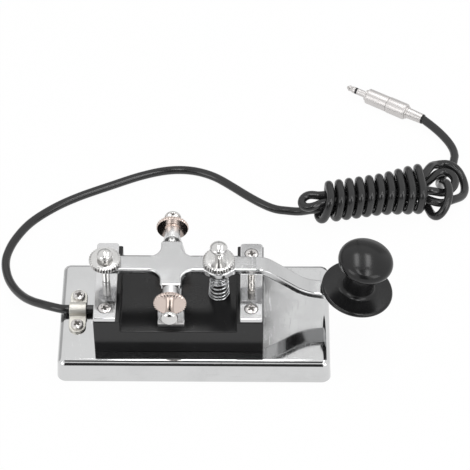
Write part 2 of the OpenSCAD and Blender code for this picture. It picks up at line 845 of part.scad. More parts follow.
module travel_screw() {
    color(nickel) translate([rear_x, 0, lever_top])
        dome_screw(travel_dome_d, travel_neck, lever_top - bar_z - stop_gap);
}

module travel_nut() {
    color(nickel) translate([rear_x, 0, lever_top + play]) knurled(nut_d, nut_t, adjust_d);
}

module tension_screw() {
    color(nickel) translate([spring_x, 0, lever_top])
        dome_screw(tension_dome_d, tension_neck, lever_top - tip_z);
}

module tension_nut() {
    color(nickel) translate([spring_x, 0, lever_top + play]) knurled(nut_d, nut_t, adjust_d);
}

module spring_seat() {
    color(nickel) translate([spring_x, 0, spring_top]) {
        cylinder(h = seat_t, d = spring_top_d + 0.6);
        translate([0, 0, -2]) cylinder(h = 2, d = spring_top_d - 2 * wire_d - 0.8);
    }
}

// Spring wire: a straight end, the rising turns, a straight end
low_r = (spring_low_d - wire_d) / 2;
top_r = (spring_top_d - wire_d) / 2;
coil_low = channel_z + 1.6 * wire_d;
coil_top = spring_top - 1.6 * wire_d;
coil_steps = 8;
spring_path = concat(
    [[low_r, 0, channel_z], [low_r, 0, channel_z + wire_d]],
    [
        for (i = [1:spring_turns * coil_steps - 1])
            let(t = i / (spring_turns * coil_steps), r = mix(low_r, top_r, t), a = 360 * spring_turns * t)
            [r * cos(a), r * sin(a), mix(coil_low, coil_top, t)]
    ],
    [[top_r, 0, spring_top - wire_d], [top_r, 0, spring_top]]
);

module return_spring() {
    color(steel) translate([spring_x, 0, 0]) tube(spring_path, wire_d, 6);
}

module cord_clamp() {
    inner = cord_d / 2 + play;
    rise = cord_z - base_h;
    color(nickel) translate([clamp_x, 0, base_h]) difference() {
        intersection() {
            rotate([90, 0, 90]) linear_extrude(clamp_w + 2, center = true) difference() {
                union() {
                    translate([-clamp_l / 2, 0]) square([clamp_l, clamp_t]);
                    translate([0, rise]) circle(inner + clamp_t);
                    translate([-inner - clamp_t, 0]) square([2 * (inner + clamp_t), rise]);
                }
                translate([0, rise]) circle(inner);
                translate([-inner, -1]) square([2 * inner, rise + 1]);
                translate([-clamp_l, -clamp_l]) square([2 * clamp_l, clamp_l]);
            }
            linear_extrude(rise + inner + clamp_t + 1)
                rounded(clamp_w, clamp_l, min(clamp_corner, clamp_w / 2.1));
        }
        for (y = [-1, 1])
            translate([0, y * clamp_span / 2, -1]) cylinder(h = clamp_t + 2, r = bore_r);
    }
}

module clamp_screws() {
    color(nickel)
        for (y = [-1, 1])
            translate([clamp_x, y * clamp_span / 2, base_h + clamp_t])
                pan_screw(clamp_t + sheet_t + clamp_grip);
}

// Free cord from the clamp to the hank, then from the hank to the plug
entry_x = clamp_x - clamp_w / 2;

module cord_entry() {
    color(cord_grey) translate([entry_x, 0, cord_z]) rotate([0, 90, 0])
        cylinder(h = core_x - entry_x, d = cord_d);
}

hank_at = [90.8, 82.3, 0];
hank_turn = 11;
function placed(p) = hank_at + [
    p.x * cos(hank_turn) - p.y * sin(hank_turn), p.x * sin(hank_turn) + p.y * cos(hank_turn), p.z
];

// Hank in its own frame: x along the wraps, y to the back
wrap_low = z_low + half_strand - z_table;
first_x = -wraps * wrap_pitch / 2;
last_x = wraps * wrap_pitch / 2;
fan_x = last_x - 5;
loop_x = last_x + 10.4;
inner_loop_r = outer_loop_r - strand - 0.4;
bight_r = 4.3;
bight_x = first_x - 7.4;
wrap_shift = 2.6;
wrap_power = 0.58;
loop_sway = 5.5;

function fan(x, r) = half_strand + (r - half_strand) * ease((x - fan_x) / (loop_x - fan_x));
function wrap_half(t) = wrap_low + wrap_flare * ease((t - 0.5) * 2);
function wrap_at(a) = let(t = a / 360 / wraps) [
    first_x + wrap_pitch * a / 360 - 0.7 * cos(a) - wrap_shift * (1 - ease(a / 180)),
    -wrap_half(t) * power_sign(sin(a), wrap_power),
    z_table + wrap_low - wrap_low * power_sign(cos(a), wrap_power)
];

lead_first = [first_x - 19.7, 4.9, z_table];
lead_straight = [first_x - 15.5, 3.5, z_table];
lead_in = concat(
    [lead_first, (lead_first + lead_straight) / 2],
    spline([
        lead_straight, [first_x - 11.2, 1.7, z_table + 0.9], [first_x - 7.5, -0.6, z_low - 1.3],
        [first_x - 4.2, -half_strand + 0.3, z_low + 0.1], [first_x, -half_strand, z_low]
    ], 2)
);
strand_1 = [for (k = [1:5]) [mix(first_x, fan_x, k / 5), -half_strand, z_low]];
outer_loop = concat(
    [for (k = [1:7]) let(x = mix(fan_x, loop_x, k / 8)) [x, -fan(x, outer_loop_r), z_low]],
    [
        for (a = [-90:15:90]) [
            loop_x + outer_loop_r * cos(a), outer_loop_r * sin(a),
            z_low - strand * (ease((a + 90) / 60) - ease((a + 5) / 50))
        ]
    ],
    [
        for (k = [7:-1:1]) let(x = mix(fan_x, loop_x, k / 8))
            [x, fan(x, outer_loop_r), mix(z_high, z_low, ease((x - last_x - 2.6) / 12))]
    ]
);
strand_2 = [for (k = [5:-1:0]) [mix(first_x, fan_x, k / 5), half_strand, z_high]];
left_bight = concat(
    [for (k = [1:3]) let(t = k / 4) [mix(first_x, bight_x, t), mix(half_strand, bight_r, ease(t)), z_high]],
    [for (a = [90:30:270]) [bight_x + bight_r * cos(a), bight_r * sin(a), z_high + 1.2 * cos(a)]],
    [
        for (k = [3:-1:1]) let(t = k / 4)
            [mix(first_x, bight_x, t), -mix(half_strand, bight_r, ease(t)), z_high]
    ]
);
strand_3 = [for (k = [0:5]) [mix(first_x, fan_x, k / 5), -half_strand, z_high]];
inner_loop = concat(
    [
        for (k = [1:7]) let(x = mix(fan_x, loop_x, k / 8))
            [x, -fan(x, inner_loop_r), mix(z_high, z_low, ease((x - last_x - 2.2) / 12))]
    ],
    [
        for (a = [-90:20:90])
            [loop_x + inner_loop_r * cos(a), inner_loop_r * sin(a), z_low + 1.1 - 1.1 * ease((a + 90) / 40)]
    ],
    [for (k = [7:-1:1]) let(x = mix(fan_x, loop_x, k / 8)) [x, fan(x, inner_loop_r), z_low]]
);
strand_4 = [for (k = [5:-1:1]) [mix(first_x, fan_x, k / 5), half_strand, z_low]];
turn_under = spline([
    [first_x + 3.5, half_strand, z_low], [first_x + 0.6, half_strand - 0.1, z_low - 1.2],
    [first_x - 1.9, 1.2, z_table + 1.5], [first_x - 3.1, -1.8, z_table], wrap_at(30)
], 3);
wound = [for (i = [3:24 * wraps]) wrap_at(15 * i)];
tail_out = spline([
    wrap_at(360 * wraps), [last_x + 0.8, -6.6, z_table], [last_x + 1.6, -12.6, z_table + 0.6],
    [last_x + 3.6, -16.9, z_table + 3], [last_x + 6.8, -17.8, z_low + 1.6], [last_x + 10, -15.2, z_high],
    [last_x + 11.4, -10.8, z_high + 1.3], [last_x + 11.4, -6.2, z_high + 1.2],
    [last_x + 10.7, -1.8, z_low + 2.6], [last_x + 10.4, 1.2, z_table + 2.6],
    [last_x + 10.8, 5, z_table + 0.1], [last_x + 13.4, 8.4, z_table], [last_x + 17.2, 10.6, z_table],
    [last_x + 20, 13, z_table], [last_x + 21.6, 16.4, z_table]
], 3);
tail_turn = unit(tail_out[len(tail_out) - 1] - tail_out[len(tail_out) - 2]);
hank_end = tail_out[len(tail_out) - 1] + cord_d * tail_turn;
hank_line = [
    for (p = concat(
        lead_in, strand_1, outer_loop, strand_2, left_bight, strand_3, inner_loop, strand_4, turn_under,
        wound, [for (i = [1:len(tail_out) - 1]) tail_out[i]], [hank_end]
    ))
        [p.x, p.y + loop_sway * ease((p.x - last_x) / 17), p.z]
];
hank_path = [for (p = soften(hank_line)) placed(p)];

module cord_hank() {
    color(cord_grey) tube(hank_path, cord_d, 6);
}

lead_end = hank_path[0];
lead_goal = unit(hank_path[1] - hank_path[0]);
lead_points = [
    [entry_x, 0, cord_z], [entry_x - 4, 0.2, cord_z], [entry_x - 9, 2, 15.2], [entry_x - 14.3, 5.5, 13],
    [entry_x - 19.3, 9.5, 10.4], [entry_x - 24.3, 15, 7.3], [entry_x - 29.3, 22.5, 4.4],
    [entry_x - 33.3, 31, 2.8], [entry_x - 35.3, 40, z_table], [entry_x - 34.8, 48, z_table],
    [entry_x - 31.3, 58, z_table], [entry_x - 24.3, 69, z_table], [-75, 79, z_table], [-62.5, 87, z_table],
    [-46, 95, z_table], [-30.5, 102, z_table],
    [-16.5, 106, z_table], [-4, 106, z_table], [7.5, 102, z_table], [18.5, 94, z_table],
    [28, 86, z_table], [36, 81, z_table], lead_end - cord_d * lead_goal, lead_end
];
lead_path = spline(lead_points, 2);

module cord_lead() {
    color(cord_grey) tube(lead_path, cord_d, 10);
}

// Plug lying on the table, turned about Z
plug_at = [118.5, 142.5, barrel_d / 2 + 0.05];
plug_turn = 149;
plug_way = [cos(plug_turn), sin(plug_turn), 0];
tail_gap = 0.3;
tail_start = hank_path[len(hank_path) - 1];
tail_goal = unit(tail_start - hank_path[len(hank_path) - 2]);
tail_path = spline([
    tail_start, tail_start + cord_d * tail_goal, [134, 124, z_table + 0.1], [130.2, 131.8, z_table + 0.6],
    plug_at - cord_d * plug_way, plug_at - tail_gap * plug_way
], 3);

module cord_tail() {
    color(cord_grey) tube(tail_path, cord_d, 10);
}

module on_plug(along) {
    translate(plug_at + along * plug_way) rotate([0, 90, plug_turn]) children();
}

front_l = barrel_l * 0.53;
sleeve_l = shaft_l * 0.48;
ring_l = shaft_l * 0.1;
tip_l = shaft_l - sleeve_l - ring_l;

module plug_collar() {
    color(nickel) on_plug(0) {
        cylinder(h = collar_l - 0.8, d1 = collar_d - 0.6, d2 = collar_d);
        translate([0, 0, collar_l - 0.8]) cylinder(h = 0.8, d = collar_d + 1);
    }
}

module plug_barrel() {
    front_d = barrel_d - 0.4;
    color(nickel) on_plug(collar_l) {
        cylinder(h = 0.6, d1 = barrel_d - 1.2, d2 = barrel_d);
        translate([0, 0, 0.6]) cylinder(h = barrel_l - front_l - 1.1, d = barrel_d);
        translate([0, 0, barrel_l - front_l - 0.5]) cylinder(h = 0.5, d = front_d - 0.6);
        translate([0, 0, barrel_l - front_l]) cylinder(h = front_l - 0.6, d = front_d);
        translate([0, 0, barrel_l - 0.6]) cylinder(h = 0.6, d1 = front_d, d2 = front_d - 1.2);
    }
}

module plug_sleeve() {
    color(nickel) on_plug(collar_l + barrel_l) {
        cylinder(h = 1, d = sleeve_d + 2.4);
        cylinder(h = sleeve_l, d = sleeve_d);
    }
}

module plug_ring() {
    color(black) on_plug(collar_l + barrel_l + sleeve_l) cylinder(h = ring_l, d = sleeve_d);
}

// Tip with a waist for the spring contact and a blunt cone end
module plug_tip() {
    nose = tip_l * 0.45;
    waist = tip_l * 0.3;
    color(nickel) on_plug(collar_l + barrel_l + sleeve_l + ring_l) {
        cylinder(h = tip_l - nose - waist, d = sleeve_d);
        translate([0, 0, tip_l - nose - waist]) cylinder(h = waist, d1 = sleeve_d, d2 = sleeve_d - 1);
        translate([0, 0, tip_l - nose]) cylinder(h = nose * 0.3, d1 = sleeve_d - 1, d2 = sleeve_d - 0.1);
        translate([0, 0, tip_l - nose * 0.7]) cylinder(h = nose * 0.7, d1 = sleeve_d - 0.1, d2 = 1);
    }
}

echo(hank_least_gap = least_gap(hank_path, cord_d, 3.2 * cord_d));
echo(spring_least_gap = least_gap(spring_path, wire_d, 6 * wire_d));
echo(cord_length = core_x - entry_x + path_length(lead_path) + path_length(hank_path)
    + path_length(tail_path));

base_pan();
base_pad();
terminal_block();
block_screws();
rear_bar();
front_bar();
bar_screws();
contact_post();
terminal_lugs();
terminal_nuts();
signal_wire();
ground_wire();
pivot_yoke();
yoke_screws();
pivot_screw_front();
pivot_screw_back();
pivot_nut_front();
pivot_nut_back();
lever();
lever_contact();
knob();
knob_screw();
travel_screw();
travel_nut();
tension_screw();
tension_nut();
spring_seat();
return_spring();
cord_clamp();
clamp_screws();
cord_entry();
cord_lead();
cord_hank();
cord_tail();
plug_collar();
plug_barrel();
plug_sleeve();
plug_ring();
plug_tip();
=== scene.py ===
"""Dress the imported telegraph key: its camera, studio, surfaces, finishes and cord.

Sizes of pieces are millimetres, as in the part's source, and become metres when a mesh is made. Places of
lamps, camera and floor are metres.
"""
import itertools
import logging
import math
from dataclasses import dataclass, field, replace
from enum import Enum
from typing import Any, Iterable, Sequence

import bpy
import numpy as np
from mathutils import Matrix, Vector
from numpy.typing import NDArray


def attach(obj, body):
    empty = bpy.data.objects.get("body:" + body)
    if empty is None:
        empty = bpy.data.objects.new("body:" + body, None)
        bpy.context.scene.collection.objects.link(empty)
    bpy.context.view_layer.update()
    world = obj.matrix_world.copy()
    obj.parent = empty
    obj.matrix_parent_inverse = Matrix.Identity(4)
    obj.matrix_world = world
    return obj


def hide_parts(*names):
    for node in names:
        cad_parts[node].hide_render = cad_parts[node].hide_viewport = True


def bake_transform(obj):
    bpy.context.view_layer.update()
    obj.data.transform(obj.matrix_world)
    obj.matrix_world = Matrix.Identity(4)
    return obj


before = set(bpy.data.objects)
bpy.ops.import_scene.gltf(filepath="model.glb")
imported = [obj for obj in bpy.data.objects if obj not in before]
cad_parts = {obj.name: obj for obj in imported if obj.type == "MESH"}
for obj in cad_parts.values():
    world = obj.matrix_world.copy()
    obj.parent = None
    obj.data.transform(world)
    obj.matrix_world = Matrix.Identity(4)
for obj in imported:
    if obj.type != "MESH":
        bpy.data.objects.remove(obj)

Array = NDArray[np.float64]
Index = NDArray[np.int64]
Colour = tuple[float, float, float]
Point = tuple[float, float, float]
LOG = logging.getLogger("telegraph_key")

# Metres in a millimetre
MM = 0.001
# Radius at which a turned piece closes on its axis, in mm
PINHOLE = 0.02
# Points in an edge's round, and the length of the short flat beside it in mm
EDGE_STEPS = 5
EDGE_FLAT = 0.15
# Points closer together than this are one, in mm, and a bend smaller than this is none, in radians
NO_GAP = 1e-6
NO_BEND = 1e-4
# Quarter turns, for rows of points in the plane
QUARTERS = np.array([[[1, 0], [0, 1]], [[0, 1], [-1, 0]], [[-1, 0], [0, -1]], [[0, -1], [1, 0]]], float)
# Rays to which the floor and the room show their white
RAYS = ("Is Camera Ray", "Is Glossy Ray", "Is Transmission Ray")


# Surfaces

@dataclass
class Shell:
    """Surface in the making: points in mm, four-sided faces, flat caps, and a map position per corner."""

    points: Array
    quads: Index
    quad_map: Array
    caps: list[Index] = field(default_factory=list)
    cap_map: list[Array] = field(default_factory=list)

    def __add__(self, other: "Shell") -> "Shell":
        """Put two surfaces into one.

        Args:
            other: the surface to add.

        Returns:
            Both surfaces as one.
        """
        shift = len(self.points)
        return Shell(
            np.vstack([self.points, other.points]),
            np.vstack([self.quads, other.quads + shift]),
            np.vstack([self.quad_map, other.quad_map]),
            self.caps + [cap + shift for cap in other.caps],
            self.cap_map + other.cap_map,
        )

    def moved(self, origin: Sequence[float], x_axis: Sequence[float] = (1, 0, 0),
              z_axis: Sequence[float] = (0, 0, 1)) -> "Shell":
        """Carry the surface into a frame: new point = origin + x X + y (Z x X) + z Z.

        Args:
            origin: where the surface's own origin goes.
            x_axis: unit direction of its X.
            z_axis: unit direction of its Z.

        Returns:
            The carried surface.
        """
        x, z = np.asarray(x_axis, float), np.asarray(z_axis, float)
        axes = np.stack([x, np.cross(z, x), z])
        return replace(self, points=self.points @ axes + np.asarray(origin, float))


def unit(v: Array) -> Array:
    """Scale the last axis of an array to length one."""
    return v / np.linalg.norm(v, axis=-1, keepdims=True)


def ease(x: Array | float) -> Array:
    """Smooth step from 0 to 1: 3c squared less 2c cubed, with c clamped to 0..1."""
    c = np.clip(x, 0, 1)
    return c * c * (3 - 2 * c)


def rows(x: Any, y: Any, z: Any) -> Array:
    """Points from their coordinates, single numbers repeated."""
    return np.stack(np.broadcast_arrays(x, y, z), -1).astype(float)


def around(radius: Array | float, angle: Array, height: Array | float) -> Array:
    """Points about Z, with angles in radians: x = r cos a, y = r sin a, z = h."""
    return rows(radius * np.cos(angle), radius * np.sin(angle), height)


def full_turn(steps: int) -> Array:
    """Angles of a full turn in even steps, as a column."""
    return np.linspace(0, 2 * np.pi, steps, endpoint=False)[:, None]


def thinned(line: Array, closed: bool = False) -> Array:
    """Leave out each point that lies on the one before it; a closed line's first follows its last."""
    before = line[-1:] if closed else line[:1] - 1
    return line[np.linalg.norm(np.diff(line, axis=0, prepend=before), axis=1) > NO_GAP]


def grid(points: Array) -> Shell:
    """Faces for a surface P(u, v) that closes on itself in u, with flat caps on its first and last ring.

    The map's first number is the share of the way round, its second the length along v in mm.

    Args:
        points: array of shape (around, along, 3), with u x v pointing outwards.

    Returns:
        The closed surface.
    """
    nu, nv = points.shape[:2]
    i, j = np.meshgrid(np.arange(nu), np.arange(nv - 1), indexing="ij")
    k = (i + 1) % nu
    quads = np.stack([i * nv + j, k * nv + j, k * nv + j + 1, i * nv + j + 1], -1).reshape(-1, 4)
    steps = np.linalg.norm(np.diff(points, axis=1), axis=2).mean(0)
    marks = np.concatenate([[0.0], np.cumsum(steps)])
    u = np.stack([i, i + 1, i + 1, i], -1) / nu
    v = np.stack([marks[j], marks[j], marks[j + 1], marks[j + 1]], -1)
    ring = np.arange(nu) * nv
    caps = [ring[::-1], ring + nv - 1]
    flat = points.reshape(-1, 3)
    return Shell(flat, quads, np.stack([u, v], -1).reshape(-1, 4, 2), caps, [flat[c, :2] for c in caps])


def lathe(profile: Array, segments: int, relief: Array | float = 0.0) -> Shell:
    """Turn a half section about Z: x = r cos a, y = r sin a, z = h.

    Args:
        profile: rows of (radius, height), going up the outside.
        segments: steps in a turn.
        relief: added to the radius, per step and row.

    Returns:
        The turned surface.
    """
    return grid(around(profile[:, 0] + relief, full_turn(segments), profile[:, 1]))


def outward(outline: Array) -> Array:
    """Corner directions of a counter-clockwise outline, long enough to keep both edges' offsets (mitres).

    Args:
        outline: points in the plane.

    Returns:
        A direction for each point: the two edges' normals added, over one more than their dot product.
    """
    edge = unit(np.roll(outline, -1, 0) - outline)
    after = np.stack([edge[:, 1], -edge[:, 0]], -1)
    before = np.roll(after, 1, 0)
    return (before + after) / (1 + (before * after).sum(1, keepdims=True))


def slab(outline: Array, rim: Array, lean: Array | None = None) -> Shell:
    """Plate with a worked edge: each edge row is the outline moved in by its inset and up to its height.

    Args:
        outline: counter-clockwise points in the plane.
        rim: rows of (inset, height) from the lower face to the upper.
        lean: directions to inset along, if not the outline's own mitres.

    Returns:
        The closed plate.
    """
    n = outward(outline) if lean is None else lean
    flat = outline[:, None] - rim[None, :, :1] * n[:, None]
    height = np.broadcast_to(rim[:, 1], flat.shape[:2])
    return grid(np.concatenate([flat, height[..., None]], -1))


def round_rim(low: float, high: float, bevel: float, steps: int = EDGE_STEPS,
              hold: float = EDGE_FLAT) -> Array:
    """Edge rows of a plate: a quarter round at each face, with short flats on both sides of it.

    Args:
        low: height of the lower face.
        high: height of the upper face.
        bevel: radius of the rounds.
        steps: points in each round.
        hold: length of the flats.

    Returns:
        Rows of (inset, height) from the lower face to the upper.
    """
    a = np.linspace(0, np.pi / 2, steps)
    lower = np.stack([bevel * (1 - np.sin(a)), low + bevel * (1 - np.cos(a))], -1)
    upper = np.stack([bevel * (1 - np.cos(a)), high - bevel * (1 - np.sin(a))], -1)
    ends = np.array([[bevel + hold, low], [bevel + hold, high]])
    side = np.array([[0, low + bevel + hold], [0, high - bevel - hold]])
    return np.vstack([ends[:1], lower, side, upper, ends[1:]])


def rounded(corners: Sequence[Sequence[float]], radii: Sequence[float] | float, steps: int,
            closed: bool = True) -> Array:
    """Round a polyline's corners by arcs, each with its centre r / sin(half angle) away on the bisector.

    Args:
        corners: points in the plane.
        radii: one radius for all corners, or one for each.
        steps: points in each arc.
        closed: whether the line returns to its start.

    Returns:
        The rounded line, without doubled points.
    """
    p = np.asarray(corners, float)
    r = np.array(np.broadcast_to(radii, len(p)), float)
    before, after = np.roll(p, 1, 0), np.roll(p, -1, 0)
    if not closed:
        r[[0, -1]] = 0
        before[0], after[-1] = 2 * p[0] - p[1], 2 * p[-1] - p[-2]
    a, c = unit(before - p), unit(after - p)
    half = 0.5 * np.arccos(np.clip((a * c).sum(1), -1, 1))
    bend = np.where(r > 0, np.pi - 2 * half, 0)
    live = bend > NO_BEND
    half = np.where(live, half, np.pi / 4)
    sweep = np.where(live, bend, 1.0)[:, None]
    middle = (a + c) / np.maximum(np.linalg.norm(a + c, axis=1, keepdims=True), NO_GAP)
    centre = p + middle * (r / np.sin(half))[:, None]
    first = p + a * (r / np.tan(half))[:, None] - centre
    last = p + c * (r / np.tan(half))[:, None] - centre
    w = np.linspace(0, 1, steps)[None]
    s, e = np.sin((1 - w) * sweep) / np.sin(sweep), np.sin(w * sweep) / np.sin(sweep)
    curve = centre[:, None] + s[..., None] * first[:, None] + e[..., None] * last[:, None]
    line = np.where(live[:, None, None], curve, p[:, None]).reshape(-1, 2)
    return thinned(line, closed)


def section(corners: Sequence[Sequence[float]], radii: Sequence[float] | float = 0, steps: int = 6) -> Array:
    """Half section of a turned piece: its corners rounded, and both its ends closed on the axis.

    Args:
        corners: rows of (radius, height), going up the outside.
        radii: one radius for all corners, or one for each.
        steps: points in each round.

    Returns:
        Rows of (radius, height), from axis to axis.
    """
    p = np.asarray(corners, float)
    line = np.vstack([[[PINHOLE, p[0, 1]]], p, [[PINHOLE, p[-1, 1]]]])
    return rounded(line, np.pad(np.broadcast_to(radii, len(p)), 1), steps, False)


def arc(centre: Sequence[float], radius: float, start: float, end: float, steps: int) -> Array:
    """Points of a circle between two angles in degrees."""
    a = np.radians(np.linspace(start, end, steps))
    return np.asarray(centre, float) + radius * np.stack([np.cos(a), np.sin(a)], -1)


def tube(path: Array, radius: float, sides: int) -> Shell:
    """Round section carried along a path; its normals are carried too, so that it doesn't twist.

    Args:
        path: points in space, with a start that isn't upright.
        radius: of the section.
        sides: steps round the section.

    Returns:
        The closed tube, P = path + r (cos a N + sin a T x N).
    """
    along = unit(np.gradient(path, axis=0))

    def square(normal: Array, way: Array) -> Array:
        """Normal brought square to a direction."""
        return unit(normal - normal.dot(way) * way)

    carried = itertools.accumulate(along, square, initial=square(np.array([0, 0, 1.0]), along[0]))
    n = np.array(list(carried)[1:])
    a = full_turn(sides)[:, None]
    return grid(path + radius * (np.cos(a) * n + np.sin(a) * np.cross(along, n)))


def strip(path: Array, half_width: Array, thickness: float, bevel: float) -> Shell:
    """Bent flat bar: a rounded rectangle carried along a path in the plane of X and Z, its width along Y.

    Args:
        path: rows of (x, z) of the middle line.
        half_width: half the width at each row.
        thickness: of the bar.
        bevel: radius of its long edges.

    Returns:
        The closed bar.
    """
    t = unit(np.gradient(path, axis=0))
    n = np.stack([-t[:, 1], t[:, 0]], -1)
    a = np.linspace(0, np.pi / 2, EDGE_STEPS)
    quarter = np.stack([bevel * np.cos(a), bevel * np.sin(a)], -1)
    one = np.vstack([[bevel, -EDGE_FLAT], quarter, [-EDGE_FLAT, bevel]])
    offsets = (one @ QUARTERS).reshape(-1, 2)
    signs = np.repeat([[1, 1], [-1, 1], [-1, -1], [1, -1]], len(one), axis=0)
    half = np.maximum(half_width - bevel, PINHOLE)
    across = signs[:, :1] * half + offsets[:, :1]
    up = signs[:, 1:] * (thickness / 2 - bevel) + offsets[:, 1:] + np.zeros(len(path))
    return grid(np.stack([path[:, 0] + up * n[:, 0], across, path[:, 1] + up * n[:, 1]], -1))


def spline(points: Array, steps: int) -> Array:
    """Cubic curve through guide points, the tangent at each set by its two neighbours.

    Args:
        points: to pass through.
        steps: from each to the next.

    Returns:
        Points of the curve, with the last guide point.
    """
    p = np.asarray(points, float)
    last = len(p) - 1
    i, t = np.repeat(np.arange(last), steps), np.tile(np.arange(steps) / steps, last)[:, None]
    a, b, c, d = p[np.maximum(i - 1, 0)], p[i], p[i + 1], p[np.minimum(i + 2, last)]
    square, cube = (2 * a - 5 * b + 4 * c - d) * t ** 2, (3 * b - a - 3 * c + d) * t ** 3
    curve = 0.5 * (2 * b + (c - a) * t + square + cube)
    return np.vstack([curve, p[-1:]])


def calm(path: Array, reach: int) -> Array:
    """Even out a path's bends: each point becomes its neighbours' mean; mirroring keeps the ends in place."""
    p = np.vstack([2 * path[0] - path[reach:0:-1], path, 2 * path[-1] - path[-2:-reach - 2:-1]])
    return np.lib.stride_tricks.sliding_window_view(p, 2 * reach + 1, 0).mean(-1)


@dataclass
class CrossScrew:
    """Screw with a cross recess in its low dome, and the foot of the dome's side at height zero.

    The recess is a plus: arm, reach, floor and fade are shares of the head's radius.
    """

    crown: float
    skirt: float
    recess: float
    depth: float
    sink: float = 0.0
    radius: float = 3.1
    shank_r: float = 1.5
    sink_r: float = 2.7
    edge: float = 0.35
    edge_share: float = 0.6
    arm: float = 0.15
    reach: float = 0.52
    floor: float = 0.5
    fade: float = 0.08
    slope: float = 0.5
    lip: float = 0.001
    sheet: float = 0.02
    dome_rows: int = 34
    segments: int = 96
    shank_segments: int = 24

    def within(self, t: Array, size: float) -> Array:
        """1 inside a share of the radius, falling to 0 just outside it."""
        return 1 - ease((t - size * self.radius) / (self.fade * self.radius))

    def whole(self) -> Shell:
        """Head and shank: a shallow dome less a cross-shaped dip that deepens to the middle, on a round rod.

        Returns:
            The closed screw, its shank below height zero.
        """
        corners = [[self.radius, 0], [self.radius, self.skirt], [PINHOLE, self.skirt + self.lip]]
        side = rounded(corners, [0, min(self.edge, self.skirt * self.edge_share), 0], 6, False)[:-1]
        inner = np.linspace(side[-1, 0], PINHOLE, self.dome_rows)[1:]
        r = np.concatenate([side[:, 0], inner])
        dome = np.concatenate([side[:, 1], self.skirt + self.crown * (1 - (inner / self.radius) ** 2)])
        a = full_turn(self.segments)
        x, y = np.abs(r * np.cos(a)), np.abs(r * np.sin(a))
        ahead = self.within(x, self.arm) * self.within(y, self.reach)
        across = self.within(y, self.arm) * self.within(x, self.reach)
        z = dome - self.recess * np.maximum(ahead, across) * (1 - self.slope * r / self.radius)
        cone = [[self.shank_r, -self.sink], [self.sink_r, 0]] if self.sink else [[self.shank_r, 0]]
        shank = lathe(section([[self.shank_r, -self.depth], *cone]), self.shank_segments)
        return grid(around(r, a, z)) + shank

    def cross(self, height: float) -> Shell:
        """Thin plus of painted shade that lies in the bottom of the recess.

        Args:
            height: of its top.

        Returns:
            The closed plus.
        """
        w, s = self.arm * self.radius, self.floor * self.radius
        outline = (np.array([[w, -s], [w, -w], [s, -w]]) @ QUARTERS).reshape(-1, 2)
        return slab(outline, np.array([[0, height - self.sheet], [0, height]]))


# Finishes

class Signal:
    """A value on its way through a finish's nodes; arithmetic on it adds Math nodes."""

    def __init__(self, recipe: "Recipe", socket: bpy.types.NodeSocket) -> None:
        """Wrap an output socket."""
        self.recipe, self.socket = recipe, socket

    def math(self, operation: str, *values: Any) -> "Signal":
        """Add a Math node whose inputs are the given values, in order."""
        return self.recipe.node("ShaderNodeMath", dict(enumerate(values)), operation=operation)

    def __add__(self, other: Any) -> "Signal":
        """Sum."""
        return self.math("ADD", self, other)

    __radd__ = __add__

    def __sub__(self, other: Any) -> "Signal":
        """Difference."""
        return self.math("SUBTRACT", self, other)

    def __rsub__(self, other: Any) -> "Signal":
        """Difference from a number."""
        return self.math("SUBTRACT", other, self)

    def __mul__(self, other: Any) -> "Signal":
        """Product."""
        return self.math("MULTIPLY", self, other)

    __rmul__ = __mul__

    def __truediv__(self, other: Any) -> "Signal":
        """Quotient."""
        return self.math("DIVIDE", self, other)

    def __rtruediv__(self, other: Any) -> "Signal":
        """Quotient of a number."""
        return self.math("DIVIDE", other, self)

    def __abs__(self) -> "Signal":
        """Size without sign."""
        return self.math("ABSOLUTE", self)

    def top(self, other: Any) -> "Signal":
        """Larger of two values."""
        return self.math("MAXIMUM", self, other)

    def between(self, low: float, high: float) -> "Signal":
        """Smooth step from 0 at low to 1 at high; low may be the larger."""
        return self.recipe.node(
            "ShaderNodeMapRange", {"Value": self, "From Min": low, "From Max": high},
            interpolation_type="SMOOTHSTEP",
        )


